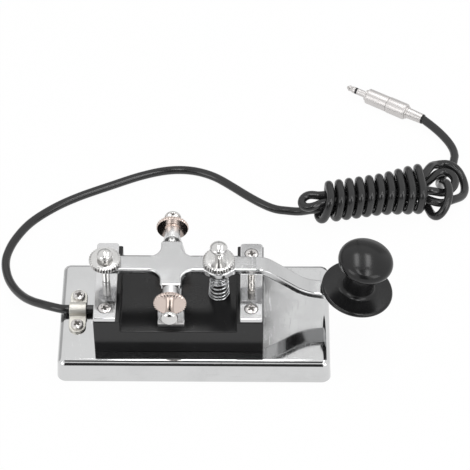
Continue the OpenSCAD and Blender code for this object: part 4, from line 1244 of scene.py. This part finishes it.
@dataclass
class CordSet:
    """Cord from the block through its clamp and the hank to the plug, and the two wires inside the block."""

    diameter: float = 4.4
    z_cord: float = 15.75
    core_x: float = -40.2
    table_gap: float = 0.1
    clamp_x: float = -57.5
    clamp_w: float = 8.4
    clamp_l: float = 27.0
    clamp_t: float = 1.2
    clamp_span: float = 18.5
    plate_z: float = 13.5
    play: float = 0.05
    blunt: float = 0.4
    plug_gap: float = 0.3
    wire_r: float = 0.7
    wire_rise: float = 1.4
    lug_z: float = 22.4
    lug_reach: float = 6.5
    signal_x: float = 27.9
    ground_x: float = -10.8
    smooth: float = 60

    @property
    def entry_x(self) -> float:
        """Where the cord leaves the clamp."""
        return self.clamp_x - self.clamp_w / 2

    @property
    def table(self) -> float:
        """Height of the cord's middle on the table."""
        return self.diameter / 2 + self.table_gap

    def free_path(self, plug: JackPlug) -> Array:
        """Middle line of the free cord, from the clamp over the table and through the hank to the plug.

        Args:
            plug: where the cord ends.

        Returns:
            Points in mm.
        """
        d, table, out = self.diameter, self.table, self.entry_x
        hank = Hank(d, table).path()
        aim = unit(hank[1] - hank[0])
        lead = np.array([
            [out, 0, self.z_cord], [out - 4, 0.2, self.z_cord], [out - 9, 2, 15.2], [out - 14.3, 5.5, 13],
            [out - 19.3, 9.5, 10.4], [out - 24.3, 15, 7.3], [out - 29.3, 22.5, 4.4], [out - 33.3, 31, 2.8],
            [out - 35.3, 40, table], [out - 34.8, 48, table], [out - 31.3, 58, table],
            [out - 24.3, 69, table], [-75, 79, table], [-62.5, 87, table], [-46, 95, table],
            [-30.5, 102, table], [-16.5, 106, table], [-4, 106, table], [7.5, 102, table], [18.5, 94, table],
            [28, 86, table], [36, 81, table], hank[0] - d * aim, hank[0],
        ])
        leave = unit(hank[-1] - hank[-2])
        end = np.array(plug.place)
        tail = np.array([
            hank[-1], hank[-1] + d * leave, [134, 124, table + 0.1], [130.2, 131.8, table + 0.6],
            end - d * plug.way, end - self.plug_gap * plug.way,
        ])
        fine, coarse = 9, 3
        way, last = spline(lead, fine), 4 * fine
        home = calm(calm(spline(tail, fine), 14), 10)
        return np.vstack([way[:-last], calm(way[-last:], 8), spline(hank, coarse)[1:], home[1:]])

    def cord(self, shop: Workshop, plug: JackPlug) -> None:
        """Args:
            shop: where pieces are made.
            plug: what the cord ends in.
        """
        fittings = plug.make(shop)
        path = self.free_path(plug)
        free = shop.piece(
            "free_cord", tube(path, self.diameter / 2, 16), Wardrobe.cord, "base", "cord_lead", "cord_hank",
            "cord_tail", sharp=self.smooth,
        )
        self.diameter * MM

    def entry(self, shop: Workshop) -> None:
        """Make the stretch under the clamp and the two wires inside the block.

        Args:
            shop: where pieces are made.
        """
        steps = np.linspace(self.entry_x, self.core_x, 12)
        held = tube(rows(steps, 0, self.z_cord), self.diameter / 2, 20)
        shop.piece("held_cord", held, Wardrobe.cord, "base", "cord_entry", sharp=self.smooth)
        a, d, z, lug = self.core_x, self.diameter, self.z_cord, self.lug_z
        rise = z + self.wire_rise
        front, rear = self.signal_x - self.lug_reach, self.ground_x - self.lug_reach
        signal = [
            [a, -1.1, z], [a + 4, -1.6, z], [a + 0.33 * (front - a), -1.1 * d, rise],
            [a + 0.6 * (front - a), -1.3 * d, rise], [front - 8, -2, (z + lug) / 2], [front - 3, 0, lug],
            [front, 0, lug],
        ]
        ground = [
            [a, 1.1, z], [a + 4, 1.6, z], [rear - 9, 4.5, rise], [rear - 3, 7.5, lug], [rear, 7.5, lug],
        ]
        for name, points, finish, node in (
            ("red_wire", signal, Wardrobe.red_wire, "signal_wire"),
            ("black_wire", ground, Wardrobe.black_wire, "ground_wire"),
        ):
            wire = tube(spline(np.array(points), 8), self.wire_r, 12)
            shop.piece(name, wire, finish, "base", node, sharp=self.smooth)

    def clamp(self, shop: Workshop) -> None:
        """Make the saddle clamp, a strip with round ends bent over the cord, and its screws.

        Its half width follows a circle at each end: the root of r squared less (r less the inset) squared.

        Args:
            shop: where pieces are made.
        """
        r = self.diameter / 2 + self.play + self.clamp_t / 2
        rise = self.z_cord - self.plate_z
        foot, half, wide = self.clamp_t / 2, self.clamp_l / 2, self.clamp_w / 2
        line = rounded(
            [[-half, foot], [-r, foot], [-r, rise + r], [r, rise + r], [r, foot], [half, foot]],
            [0, 1.0, r * 0.98, r * 0.98, 1.0, 0], 12, False,
        )
        ends = np.linspace(0, 1, 12)[1:-1, None] ** 1.5 * wide
        line = np.vstack([
            line[:1], line[:1] + ends * [1, 0], [[-half + wide, foot]], line[1:-1],
            [[half - wide, foot]], line[-1:] - ends[::-1] * [1, 0], line[-1:],
        ])
        inset = np.minimum(half - np.abs(line[:, 0]), wide)
        width = np.sqrt(np.maximum(wide ** 2 - (wide - inset) ** 2, self.blunt ** 2))
        saddle = strip(line, width, self.clamp_t, 0.3)
        placed = saddle.moved((self.clamp_x, 0, self.plate_z), (0, 1, 0), (0, 0, 1))
        shop.piece("saddle_clamp", placed, Wardrobe.clamp, "base", "cord_clamp")
        screw = CrossScrew(crown=0.5, skirt=1.3, recess=0.8, depth=6.4)
        for name, one, finish, nodes in (
            ("clamp_screw_pair", screw.whole(), Wardrobe.screw, ["clamp_screws"]),
            # dark plus of painted shade in each head's cross recess
            ("clamp_screw_crosses", screw.cross(1.15), Wardrobe.hollow_shade, []),
        ):
            front, back = [
                one.moved((self.clamp_x, y, self.plate_z + self.clamp_t), turn)
                for y, turn in (
                    (-self.clamp_span / 2, (0.8, 0.6, 0)),
                    (self.clamp_span / 2, (0.95, -math.sqrt(1 - 0.95 ** 2), 0)),
                )
            ]
            shop.piece(name, front + back, finish, "base", *nodes)

    def make(self, shop: Workshop) -> None:
        """Make the cord with the plug, the wires and the clamp.

        Args:
            shop: where pieces are made.
        """
        self.cord(shop, JackPlug())
        self.entry(shop)
        self.clamp(shop)


@dataclass
class Base:
    """Pressed and plated pan, and the pad that closes it."""

    length: float = 134.0
    width: float = 66.0
    height: float = 13.5
    corner: float = 4.6
    draft: float = 0.7
    sheet: float = 1.2
    lift: float = 0.3
    inner_lean: float = 0.02
    inner_rise: float = 2.2
    foot_r: float = 0.4
    flat: float = 0.4
    turn_at: tuple[float, ...] = (0, 0.48, 1.51, 2.40, 3.02, 4.40)
    turn_to: tuple[float, ...] = (88, 66, 38, 35, 23, 0)

    def make(self, shop: Workshop) -> None:
        """Make the pan: a round-cornered outline, moved in as the wall leans and the shoulder turns.

        The shoulder's slope falls from the wall's to level, by a table of slopes along its length, and its
        rows are the running sums of the slope's cosine and sine.

        Args:
            shop: where pieces are made.
        """
        x, y = self.length / 2, self.width / 2
        outline = rounded([[-x, -y], [x, -y], [x, y], [-x, y]], self.corner, 16)
        way, step = np.linspace(0, self.turn_at[-1], 60, retstep=True)
        slope = np.radians(np.interp(way, self.turn_at, self.turn_to))
        bend = np.cumsum(np.stack([np.cos(slope), np.sin(slope)], -1) * step, 0)
        bend = bend + [self.draft, self.height - bend[-1, 1]]
        inside = [self.sheet + self.inner_lean, self.inner_rise]
        side = [inside, [self.sheet, self.lift], [0, self.lift], bend[0]]
        foot = rounded(side, [0, self.foot_r, self.foot_r, 0], 12, False)
        rim = np.vstack([foot, bend[1:], bend[-1:] + [self.flat, 0]])
        shop.piece("pressed_pan", slab(outline, rim), Wardrobe.chrome, "base", "base_pan")
        shop.repaint(Wardrobe.pad, "base_pad")


@dataclass
class TerminalBlock:
    """Black moulded block, its two bars with their screws, and the fixed contact."""

    length: float = 82.0
    width: float = 49.0
    x: float = -7.2
    low: float = 13.5
    channel: float = 28.5
    top: float = 35.5
    pedestal: float = 12.8
    bar_w: float = 10.8
    bar_t: float = 2.4
    rear_x: float = -42.7
    front_x: float = 27.9
    span: float = 35.0
    post_top: float = 43.8
    contact_d: float = 3.6
    stud_low: float = 19.6
    stud_r: float = 1.5
    seam: float = 0.32
    seam_t: float = 0.02
    screw_turns: tuple[float, ...] = (20, 65, 40, 10)

    def make(self, shop: Workshop) -> None:
        """Make all pieces of the block.

        Args:
            shop: where pieces are made.
        """
        self.block(shop)
        self.bars(shop)
        self.post(shop)
        shop.repaint(Wardrobe.steel, "block_screws", "terminal_nuts")
        shop.repaint(Wardrobe.contact, "terminal_lugs")

    def block(self, shop: Workshop) -> None:
        """Make the block: its outline from the front, carried from front to back with rounded edges.

        Args:
            shop: where pieces are made.
        """
        h, p = self.length / 2, self.length / 2 - self.pedestal
        corners = [
            [-h, self.low], [h, self.low], [h, self.top], [p, self.top], [p, self.channel],
            [-p, self.channel], [-p, self.top], [-h, self.top],
        ]
        outline = rounded(corners, [0, 0, 0.7, 0.7, 0.6, 0.6, 0.7, 0.7], 6)
        shell = slab(outline, round_rim(-self.width / 2, self.width / 2, 0.4, 6, 0.1))
        placed = shell.moved((self.x, 0, 0), (1, 0, 0), (0, -1, 0))
        shop.piece("moulded_block", placed, Wardrobe.block, "base", "terminal_block")

    def bars(self, shop: Workshop) -> None:
        """Make the bars and their raised countersunk screws, with a black ring of painted shade for the gap
        round each.

        Args:
            shop: where pieces are made.
        """
        x, y = self.bar_w / 2, (self.width - 0.6) / 2
        outline = rounded([[-x, -y], [x, -y], [x, y], [-x, y]], [0.6, 0.6, 1.5, 1.5], 8)
        bar = slab(outline, round_rim(0, self.bar_t, 0.35))
        for node, place in (("rear_bar", self.rear_x), ("front_bar", self.front_x)):
            shop.piece(node + "_plate", bar.moved((place, 0, self.top)), Wardrobe.bar_plate, "base", node)
        screw = CrossScrew(crown=0.35, skirt=0.22, recess=0.55, depth=8.0, sink=1.3)
        wide = screw.radius + self.seam
        seam = lathe(section([[wide, 0], [wide - self.seam_t, self.seam_t]]), 48)
        spots = list(itertools.product((self.rear_x, self.front_x), (-self.span / 2, self.span / 2)))
        for name, one, finish, nodes in (
            ("bar_screw_set", screw.whole(), Wardrobe.screw, ["bar_screws"]),
            # flat black ring of painted shade, for the gap round each head
            ("bar_screw_seams", seam, Wardrobe.block, []),
            # dark plus of painted shade in each head's cross recess
            ("bar_screw_crosses", screw.cross(0.14), Wardrobe.hollow_shade, []),
        ):
            four = [
                one.moved((px, py, self.top + self.bar_t), (math.cos(t), math.sin(t), 0))
                for (px, py), t in zip(spots, np.radians(self.screw_turns))
            ]
            shop.piece(name, sum(four[1:], four[0]), finish, "base", *nodes)

    def post(self, shop: Workshop) -> None:
        """Make the fixed contact: stud and round-topped post.

        Args:
            shop: where pieces are made.
        """
        bar, r = self.top + self.bar_t, self.contact_d / 2
        corners = [[self.stud_r, self.stud_low], [self.stud_r, bar], [r, bar], [r, self.post_top]]
        post = lathe(section(corners, [0.2, 0, 0.1, 0.6]), 48).moved((self.front_x, 0, 0))
        shop.piece("fixed_contact", post, Wardrobe.contact, "base", "contact_post")


@dataclass
class DomeScrews:
    """Turned screws with domed heads and their knurled lock nuts."""

    thread_d: float = 4.0
    pitch: float = 0.7
    thread_depth: float = 0.22
    thread_rows: int = 8
    runout: float = 0.2
    lift: float = 1.8
    edge: float = 0.8
    lip: float = 0.35
    crown: float = 2.0
    knurls: int = 34
    knurl: float = 0.5
    knurl_steps: int = 6
    knurl_in: float = 0.35
    knurl_fade: float = 0.3
    knurl_power: float = 0.8
    rim: float = 0.45
    chamfer: float = 1.3
    groove: float = 0.3
    ring_t: float = 1.2
    segments: int = 48

    def head(self, d: float, nut_end: float, neck: float) -> Array:
        """Half section of a head with a low oval dome; its neck's radius grows with the cube of the height.

        Args:
            d: diameter of the head.
            nut_end: height of the nut's face.
            neck: length of the neck above it.

        Returns:
            Rows of (radius, height) from the start of the neck to the top.
        """
        root, r, face = self.thread_d / 2, d / 2, nut_end + neck + self.lift
        low = face - self.edge
        t = np.linspace(0, 1, 16)[:, None]
        flare = np.hstack([root + (r - self.lip - root) * t ** 3, nut_end + (low - nut_end) * t])
        edge = rounded([flare[-1], [r, low], [r, face]], [0, 0.15, 0], 6, False)
        dome = arc((0, 0), 1, 0, 89.7, 24)[1:] * [r, self.crown] + [0, face]
        return np.vstack([flare[:-1], edge, dome])

    def thread(self, heights: Array, low: float, high: float) -> Array:
        """Screw thread as a change of radius: half a cosine wave of height less turn, faded out at both ends.

        Args:
            heights: of a profile's rows.
            low: where the thread starts.
            high: where it ends.

        Returns:
            The change for each step round and each row.
        """
        wave = 0.5 - 0.5 * np.cos(2 * np.pi * heights / self.pitch - full_turn(self.segments))
        start, end = ease((heights - low) / self.pitch), ease((high - heights) / self.pitch)
        return -self.thread_depth * wave * start * end

    def screw(self, dome_d: float, neck: float, tip: Array, nut_end: float) -> Shell:
        """Screw along Z: a tip, a threaded shank, a flared neck and a domed head.

        Args:
            dome_d: diameter of the head.
            neck: length from the nut to the head.
            tip: rows of (radius, height) up to the shank's start.
            nut_end: height of the nut's face, where the thread ends.

        Returns:
            The turned screw.
        """
        low, high = tip[-1, 1], nut_end - self.runout
        heights = np.linspace(low, high, int(round((high - low) / self.pitch * self.thread_rows)) + 1)
        shank = np.stack([np.full(len(heights), self.thread_d / 2), heights], -1)
        profile = np.vstack([tip[:-1], shank, self.head(dome_d, nut_end, neck)])
        return lathe(profile, self.segments, self.thread(profile[:, 1], low, high))

    def nut(self, diameter: float, thickness: float, hub: float = 0.0, hub_r: float = 0.0) -> Shell:
        """Knurled disc on an optional hub: its rim's radius dips once for each knurl.

        Args:
            diameter: of the disc.
            thickness: of the disc.
            hub: height of the hub below it.
            hub_r: radius of the hub.

        Returns:
            The nut, its foot at height zero.
        """
        r, top = diameter / 2, hub + thickness
        disc = [
            [r - self.rim, hub], [r, hub + self.rim], [r, top - self.rim * self.chamfer],
            [r - self.chamfer, top],
        ]
        soft = [0.15, 0.15, 0.2, 0.3]
        if hub:
            disc, soft = [[hub_r, 0], [hub_r, hub], *disc], [0.2, 0.25, *soft]
        profile = section(disc, soft, 5)
        count = self.knurls * self.knurl_steps
        edge = ease((profile[:, 0] - (r - self.knurl_in)) / self.knurl_fade) * (profile[:, 1] > hub + 0.05)
        dip = (0.5 - 0.5 * np.cos(self.knurls * full_turn(count))) ** self.knurl_power
        return lathe(profile, count, -self.knurl * edge * dip)

    def grooves(self, diameter: float, thickness: float) -> Shell:
        """Dark ring of painted shade at the bottom of a nut's knurl grooves: a square section, carried round
        Z.

        Args:
            diameter: of the nut.
            thickness: of the nut.

        Returns:
            The ring, for a nut with its foot at height zero.
        """
        r = diameter / 2 - self.groove
        low, high = 0.5, thickness - self.rim * self.chamfer - 0.1
        a = np.linspace(0, 2 * np.pi, self.segments + 1)
        wide, up = np.array([[r, r - self.ring_t, r - self.ring_t, r], [low, low, high, high]])[:, :, None]
        return grid(around(wide, a, up))


@dataclass
class PivotStand:
    """Yoke on the channel's floor, its screws, and the two pivot screws with their nuts."""

    x: float = -10.8
    floor: float = 28.5
    rise: float = 21.0
    width: float = 13.0
    sheet: float = 3.5
    foot: float = 2.5
    gap: float = 31.0
    top_r: float = 3.7
    span: float = 15.0
    foot_half: float = 21.5
    strap: float = 9.0
    out: float = 22.2
    hub: float = 0.9
    cone_tip: float = 11.9
    shank: float = 14.9
    dome_d: float = 8.2
    front_neck: float = 6.2
    back_neck: float = 3.6
    nut_d: float = 15.8
    nut_t: float = 2.3
    nut_gap: float = 0.05
    clear: float = 0.02
    boss_low: float = 0.2
    side_share: float = 0.35
    cone_angle: float = 30
    cone_edge: float = 0.25

    def make(self, shop: Workshop, turned: DomeScrews) -> None:
        """Make the yoke, its screws, the pivot screws and the lock nuts."""
        self.yoke(shop)
        self.pivots(shop, turned)

    def yoke(self, shop: Workshop) -> None:
        """Make the yoke, a foot with two uprights and their bosses, and its two screws.

        An upright's sides lean in along the tangents from its shoulders to the round top.

        Args:
            shop: where pieces are made.
        """
        half, side = self.width / 2, self.rise * self.side_share
        fall = side - self.rise
        lean = math.degrees(math.atan2(fall, half) + math.acos(self.top_r / math.hypot(half, fall)))
        outline = np.vstack([
            [[-half, 0], [half, 0], [half, side]],
            arc((0, self.rise), self.top_r, lean, 180 - lean, 24),
            [[-half, side]],
        ])
        upright = slab(outline, round_rim(0, self.sheet, 0.35))
        inner, end, thin = self.gap / 2, self.foot_half, self.strap / 2
        yoke = slab(rounded([
            [-half, -end], [half, -end], [half, -inner], [thin, -inner], [thin, inner], [half, inner],
            [half, end], [-half, end], [-half, inner], [-thin, inner], [-thin, -inner], [-half, -inner],
        ], 0.6, 4), round_rim(self.clear, self.foot, 0.3))
        boss_r = self.top_r - self.clear
        boss = lathe(section([[boss_r, self.boss_low], [boss_r, self.out - inner]], [0, 0.35]), 48)
        for way in (-1, 1):
            yoke = yoke + upright.moved((0, way * inner, 0), (-way, 0, 0), (0, way, 0))
            yoke = yoke + boss.moved((0, way * inner, self.rise), (1, 0, 0), (0, way, 0))
        shop.piece("yoke_stand", yoke.moved((self.x, 0, self.floor)), Wardrobe.yoke, "base", "pivot_yoke")
        screw = CrossScrew(crown=0.6, skirt=1.4, recess=0.9, depth=7.0).whole()
        front, back = [
            screw.moved((self.x, y, self.floor + self.foot)) for y in (-self.span / 2, self.span / 2)
        ]
        shop.piece("yoke_screw_pair", front + back, Wardrobe.screw, "base", "yoke_screws")

    def pivots(self, shop: Workshop, turned: DomeScrews) -> None:
        """Make the pivot screws, which end in cones, and their lock nuts.

        Args:
            shop: where pieces are made.
            turned: how screws and nuts are turned.
        """
        cone_r = (self.shank - self.cone_tip) * math.tan(math.radians(self.cone_angle))
        root = turned.thread_d / 2
        tip = np.array([[PINHOLE, self.cone_tip], [cone_r, self.shank], [root, self.shank + self.cone_edge]])
        nut = turned.nut(self.nut_d, self.nut_t, self.hub, self.top_r)
        seat, z, upright = self.out + self.nut_gap, self.floor + self.rise, (0, 0, 1)
        for side, way, neck in (("front", -1, self.front_neck), ("back", 1, self.back_neck)):
            screw = turned.screw(self.dome_d, neck, tip, seat + self.hub + self.nut_t)
            for kind, one, place, finish in (
                ("screw", screw, 0, Wardrobe.nickel),
                ("nut", nut, way * seat, Wardrobe.copper_nickel),
            ):
                placed = one.moved((self.x, place, z), upright, (0, way, 0))
                node = f"pivot_{kind}_{side}"
                shop.piece(f"pivot_{side}_{kind}", placed, finish, node, node)


@dataclass
class Lever:
    """Cross-shaped lever with its S-bend, the moving contact, and the adjusting screws it carries."""

    pivot_x: float = -10.8
    pivot_z: float = 49.5
    rear_x: float = -42.7
    front_x: float = 27.9
    spring_x: float = 12.2
    bend_x: float = 30.1
    thickness: float = 3.6
    width: float = 9.2
    arm_w: float = 10.4
    arm_span: float = 28.4
    fillet: float = 6.0
    eye_d: float = 15.6
    bend_angle: float = 40.0
    bend_high_r: float = 11.2
    slope_l: float = 15.7
    bend_low_r: float = 21.8
    seat_l: float = 19.4
    tilt: float = 9.5
    bevel: float = 0.75
    bar_z: float = 37.9
    stop_gap: float = 0.06
    spring_top: float = 44.1
    nut_d: float = 15.6
    nut_t: float = 3.2
    nut_gap: float = 0.05
    tip_gap: float = 0.05
    point_r: float = 1.65
    point_l: float = 0.7
    blunt: float = math.sqrt(0.3)
    arm_corner: float = 1.4
    eye_blend: float = 1.6
    contact_r: float = 1.8
    contact_l: float = 3.0
    rivet_r: float = 1.2
    rivet_l: float = 2.5
    cup_r: float = 4.8
    cup_t: float = 1.2
    peg_r: float = 3.2
    peg_l: float = 2.0

    def centre_line(self) -> Array:
        """Middle line of the bent end: arc, slope, arc and the knob's seat.

        Returns:
            Rows of (x, z) from the start of the upper bend.
        """
        a, k, r = math.radians(self.bend_angle), math.radians(self.tilt), self.bend_high_r
        high = arc((self.bend_x, self.pivot_z - r), r, 90, 90 - self.bend_angle, 20)
        end = high[-1] + self.slope_l * np.array([math.cos(a), -math.sin(a)])
        slope = high[-1] + np.linspace(0, 1, 8)[1:-1, None] * (end - high[-1])
        centre = end + self.bend_low_r * np.array([math.sin(a), math.cos(a)])
        low = arc(centre, self.bend_low_r, 270 - self.bend_angle, 270 - self.tilt, 20)
        way = np.array([math.cos(k), -math.sin(k)])
        seat = low[-1] + np.linspace(0, self.seat_l, 8)[1:, None] * way
        tip = seat[-1] + self.width / 2 * np.sin(np.linspace(0, np.pi / 2, 14))[1:, None] * way
        return np.vstack([high, slope, low, seat, tip])

    def flat_outline(self) -> Array:
        """Outline of the flat part: round tail, cross arms with fillets, eye, and the cut at the bend.

        The eye's circle and the straight edge meet in a smooth larger of the two: half the sum of both and of
        the root of their difference squared plus a blend.

        Returns:
            Counter-clockwise points in the plane of X and Y.
        """
        half, arm, f, p = self.width / 2, self.arm_w / 2, self.fillet, self.pivot_x
        x = np.linspace(self.bend_x, p + arm + f, 90)
        aside = np.abs(x - self.spring_x)
        eye_r = self.eye_d / 2
        eye = np.sqrt(np.maximum(eye_r ** 2 - aside ** 2, 0)) - 3 * np.maximum(aside - eye_r, 0)
        edge = (half + eye + np.sqrt((half - eye) ** 2 + self.eye_blend)) / 2
        edge = edge + (half - edge) * np.maximum(ease((aside - eye_r) / 3), 0)
        end, corner = self.arm_span / 2 - self.arm_corner, self.arm_corner
        upper = np.vstack([
            np.stack([x, edge], -1),
            arc((p + arm + f, half + f), f, 270, 180, 14)[1:],
            arc((p + arm - corner, end), corner, 0, 90, 8),
            arc((p - arm + corner, end), corner, 90, 180, 8),
            arc((p - arm - f, half + f), f, 0, -90, 14),
            arc((self.rear_x, 0), half, 90, 180, 16),
        ])
        return np.vstack([upper, upper[-2::-1] * [1, -1]])

    def make(self, shop: Workshop, turned: DomeScrews) -> None:
        """Make the lever, its contact, the adjusting screws, their nuts and the spring's seat.

        Args:
            shop: where pieces are made.
            turned: how screws and nuts are turned.
        """
        self.plate(shop)
        self.contact(shop)
        self.adjusters(shop, turned)
        self.seat(shop)

    def plate(self, shop: Workshop) -> None:
        """Make the lever's plate: the flat cross and the bent end, whose tip narrows along a circle.

        Args:
            shop: where pieces are made.
        """
        outline = self.flat_outline()
        lean = outward(outline)
        cut = np.isclose(outline[:, 0], self.bend_x)
        lean[cut] = np.stack([0 * outline[cut, 0], np.sign(outline[cut, 1])], -1)
        half, wide = self.thickness / 2, self.width / 2
        flat = slab(outline, round_rim(-half, half, self.bevel), lean).moved((0, 0, self.pivot_z))
        line = self.centre_line()
        reach = np.linalg.norm(line - line[-1], axis=1)
        tip = np.sqrt(np.maximum(wide ** 2 - (wide - reach) ** 2, self.blunt ** 2))
        bent = strip(line, np.where(reach < wide, tip, wide), self.thickness, self.bevel)
        shop.piece("cross_lever", flat + bent, Wardrobe.lever_plate, "lever", "lever")

    def contact(self, shop: Workshop) -> None:
        """Make the moving contact, riveted up into the lever.

        Args:
            shop: where pieces are made.
        """
        low, r, rivet = self.pivot_z - self.thickness / 2, self.contact_r, self.rivet_r
        corners = [[r, low - self.contact_l], [r, low], [rivet, low], [rivet, low + self.rivet_l]]
        contact = lathe(section(corners, [0.5, 0.1, 0, 0.1]), 48).moved((self.front_x, 0, 0))
        shop.piece("moving_contact", contact, Wardrobe.contact, "lever", "lever_contact")

    def adjusters(self, shop: Workshop, turned: DomeScrews) -> None:
        """Make the travel and tension screws, their lock nuts and the painted shade in these nuts' knurl
        grooves.

        Args:
            shop: where pieces are made.
            turned: how screws and nuts are turned.
        """
        seat = self.pivot_z + self.thickness / 2 + self.nut_gap
        for name, x, dome_d, neck, tip_z in (
            ("travel", self.rear_x, 7.8, 0.8, self.bar_z + self.stop_gap),
            ("tension", self.spring_x, 8.4, 6.0, self.spring_top + self.cup_t + self.tip_gap),
        ):
            tip = np.array([
                [PINHOLE, tip_z], [self.point_r, tip_z], [turned.thread_d / 2, tip_z + self.point_l],
            ])
            screw = turned.screw(dome_d, neck, tip, seat + self.nut_t).moved((x, 0, 0))
            shop.piece(name + "_dome_screw", screw, Wardrobe.nickel, name + "_screw", name + "_screw")
            nut = turned.nut(self.nut_d, self.nut_t).moved((x, 0, seat))
            shop.piece(name + "_lock_nut", nut, Wardrobe.nickel, name + "_nut", name + "_nut")
            # Dark ring of painted shade in the nut's knurl grooves
            ring = turned.grooves(self.nut_d, self.nut_t).moved((x, 0, seat))
            shop.piece(name + "_knurl", ring, Wardrobe.hollow_shade, name + "_nut")

    def seat(self, shop: Workshop) -> None:
        """Make the spring's seat, a cup with a peg inside the spring.

        Args:
            shop: where pieces are made.
        """
        z, peg, cup = self.spring_top, self.peg_r, self.cup_r
        corners = [[peg, z - self.peg_l], [peg, z], [cup, z], [cup, z + self.cup_t]]
        seat = lathe(section(corners, [0.4, 0, 0.2, 0.3]), 48).moved((self.spring_x, 0, 0))
        shop.piece("spring_cup", seat, Wardrobe.nickel, "spring_seat", "spring_seat")


@dataclass
class Spring:
    """Return spring between the channel's floor and its seat."""

    x: float = 12.2
    low: float = 28.5
    top: float = 44.1
    wire: float = 0.9
    turns: float = 6.0
    low_d: float = 10.8
    top_d: float = 8.6
    closed: float = 0.6
    over: float = 0.3
    gather: float = 0.035
    steps: int = 40
    clear: float = 0.02
    smooth: float = 60

    def make(self, shop: Workshop) -> None:
        """Make the spring: a helix that narrows upwards, with a closed flat turn at each end.

        Args:
            shop: where pieces are made.
        """
        half, open_turns = self.wire / 2, self.turns + self.over
        count = open_turns + 2 * self.closed
        t = np.linspace(0, count, round(count * self.steps) + 1)
        rise = np.clip((t - self.closed) / open_turns, 0, 1)
        rise = rise - self.gather * np.sin(2 * np.pi * rise)
        z = self.low + half + self.clear + (self.top - self.low - self.wire - 2 * self.clear) * rise
        r = (self.low_d + (self.top_d - self.low_d) * rise) / 2 - half
        path = around(r, 2 * np.pi * t, z) + [self.x, 0, 0]
        cut = len(path) // 2
        levels = (self.low, path[cut, 2] - half, path[cut, 2] + half, self.top - self.wire)
        low, under, over, top = [(self.x * MM, 0, level * MM) for level in levels]
        for name, part, ends, start, end in (
            ("return_coil_low", path[:cut + 1], ("base", "lever"), low, under),
            ("return_coil_top", path[cut:], ("lever", "spring_seat"), over, top),
        ):
            shell = tube(part, half, 12)
            coil = shop.piece(name, shell, Wardrobe.steel, "", "return_spring", sharp=self.smooth)
            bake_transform(coil)


@dataclass
class Knob:
    """Finger knob: skirt with a rolled edge, coved neck, undercut cap and dome."""

    lever: Lever
    skirt_d: float = 35.2
    skirt_t: float = 2.4
    neck_d: float = 14.6
    cove: float = 2.5
    cap_d: float = 27.0
    cap_rise: float = 19.8
    cap_edge: float = 4.0
    dome_h: float = 6.3
    boss_d: float = 14.0
    boss_h: float = 0.6
    flat: float = 0.3

    def profile(self) -> Array:
        """Half section of the knob, up the outside.

        Returns:
            Rows of (radius, height) from the boss to the top of the dome.
        """
        low, top = self.boss_h, self.boss_h + self.skirt_t
        wide = top + self.cap_rise
        under = wide - self.cap_edge
        neck, boss, roll = self.neck_d / 2, self.boss_d / 2, self.skirt_t / 2
        rim = self.cap_d / 2 - self.cap_edge
        dome = (rim ** 2 + self.dome_h ** 2 - self.cap_edge ** 2) / (2 * (self.dome_h - self.cap_edge))
        middle = wide + self.dome_h - dome
        meet = math.degrees(math.atan2(wide - middle, rim))
        return np.vstack([
            [[PINHOLE, 0], [boss, 0], [boss, low], [boss + 0.2, low]],
            arc((self.skirt_d / 2 - roll, low + roll), roll, -90, 90, 14),
            [[neck + self.cove + self.flat, top]],
            arc((neck + self.cove, top + self.cove), self.cove, 270, 180, 10),
            [[neck, top + self.cove + self.flat], [neck, under - self.cove - self.flat]],
            arc((neck + self.cove, under - self.cove), self.cove, 180, 90, 10),
            arc((rim, wide), self.cap_edge, -90, meet, 24),
            arc((0, middle), dome, meet, 89.9, 24)[1:],
        ])

    def make(self, shop: Workshop) -> None:
        """Make the knob on the lever's seat, tilted with it.

        Args:
            shop: where pieces are made.
        """
        a = math.radians(self.lever.tilt)
        way, up = np.array([math.cos(a), -math.sin(a)]), np.array([math.sin(a), math.cos(a)])
        end = self.lever.centre_line()[-1]
        seat = end - self.lever.width / 2 * way + self.lever.thickness / 2 * up
        shell = lathe(thinned(self.profile()), 96)
        placed = shell.moved((seat[0], 0, seat[1]), (way[0], 0, way[1]), (up[0], 0, up[1]))
        shop.piece("finger_knob", placed, Wardrobe.knob, "lever", "knob")
        shop.repaint(Wardrobe.steel, "knob_screw")


def main() -> None:
    """Set up the picture and make every piece."""
    logging.basicConfig(level=logging.INFO, format="%(name)s: %(message)s")
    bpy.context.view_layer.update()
    shop = Workshop()
    studio = Studio()
    studio.make()
    CordSet().make(shop)
    Base().make(shop)
    plug = ("plug_collar_turned", "plug_barrel_turned", "plug_sleeve_turned", "plug_tip_turned")
    studio.flag("left_front", "pressed_pan", *plug)
    studio.flag("right_front", *plug)
    studio.flag("left_back", "free_cord")
    studio.flag("right_back", "free_cord")
    TerminalBlock().make(shop)
    turned = DomeScrews()
    PivotStand().make(shop, turned)
    lever = Lever()
    lever.make(shop, turned)
    Spring().make(shop)
    Knob(lever).make(shop)


if __name__ == "__main__":
    main()
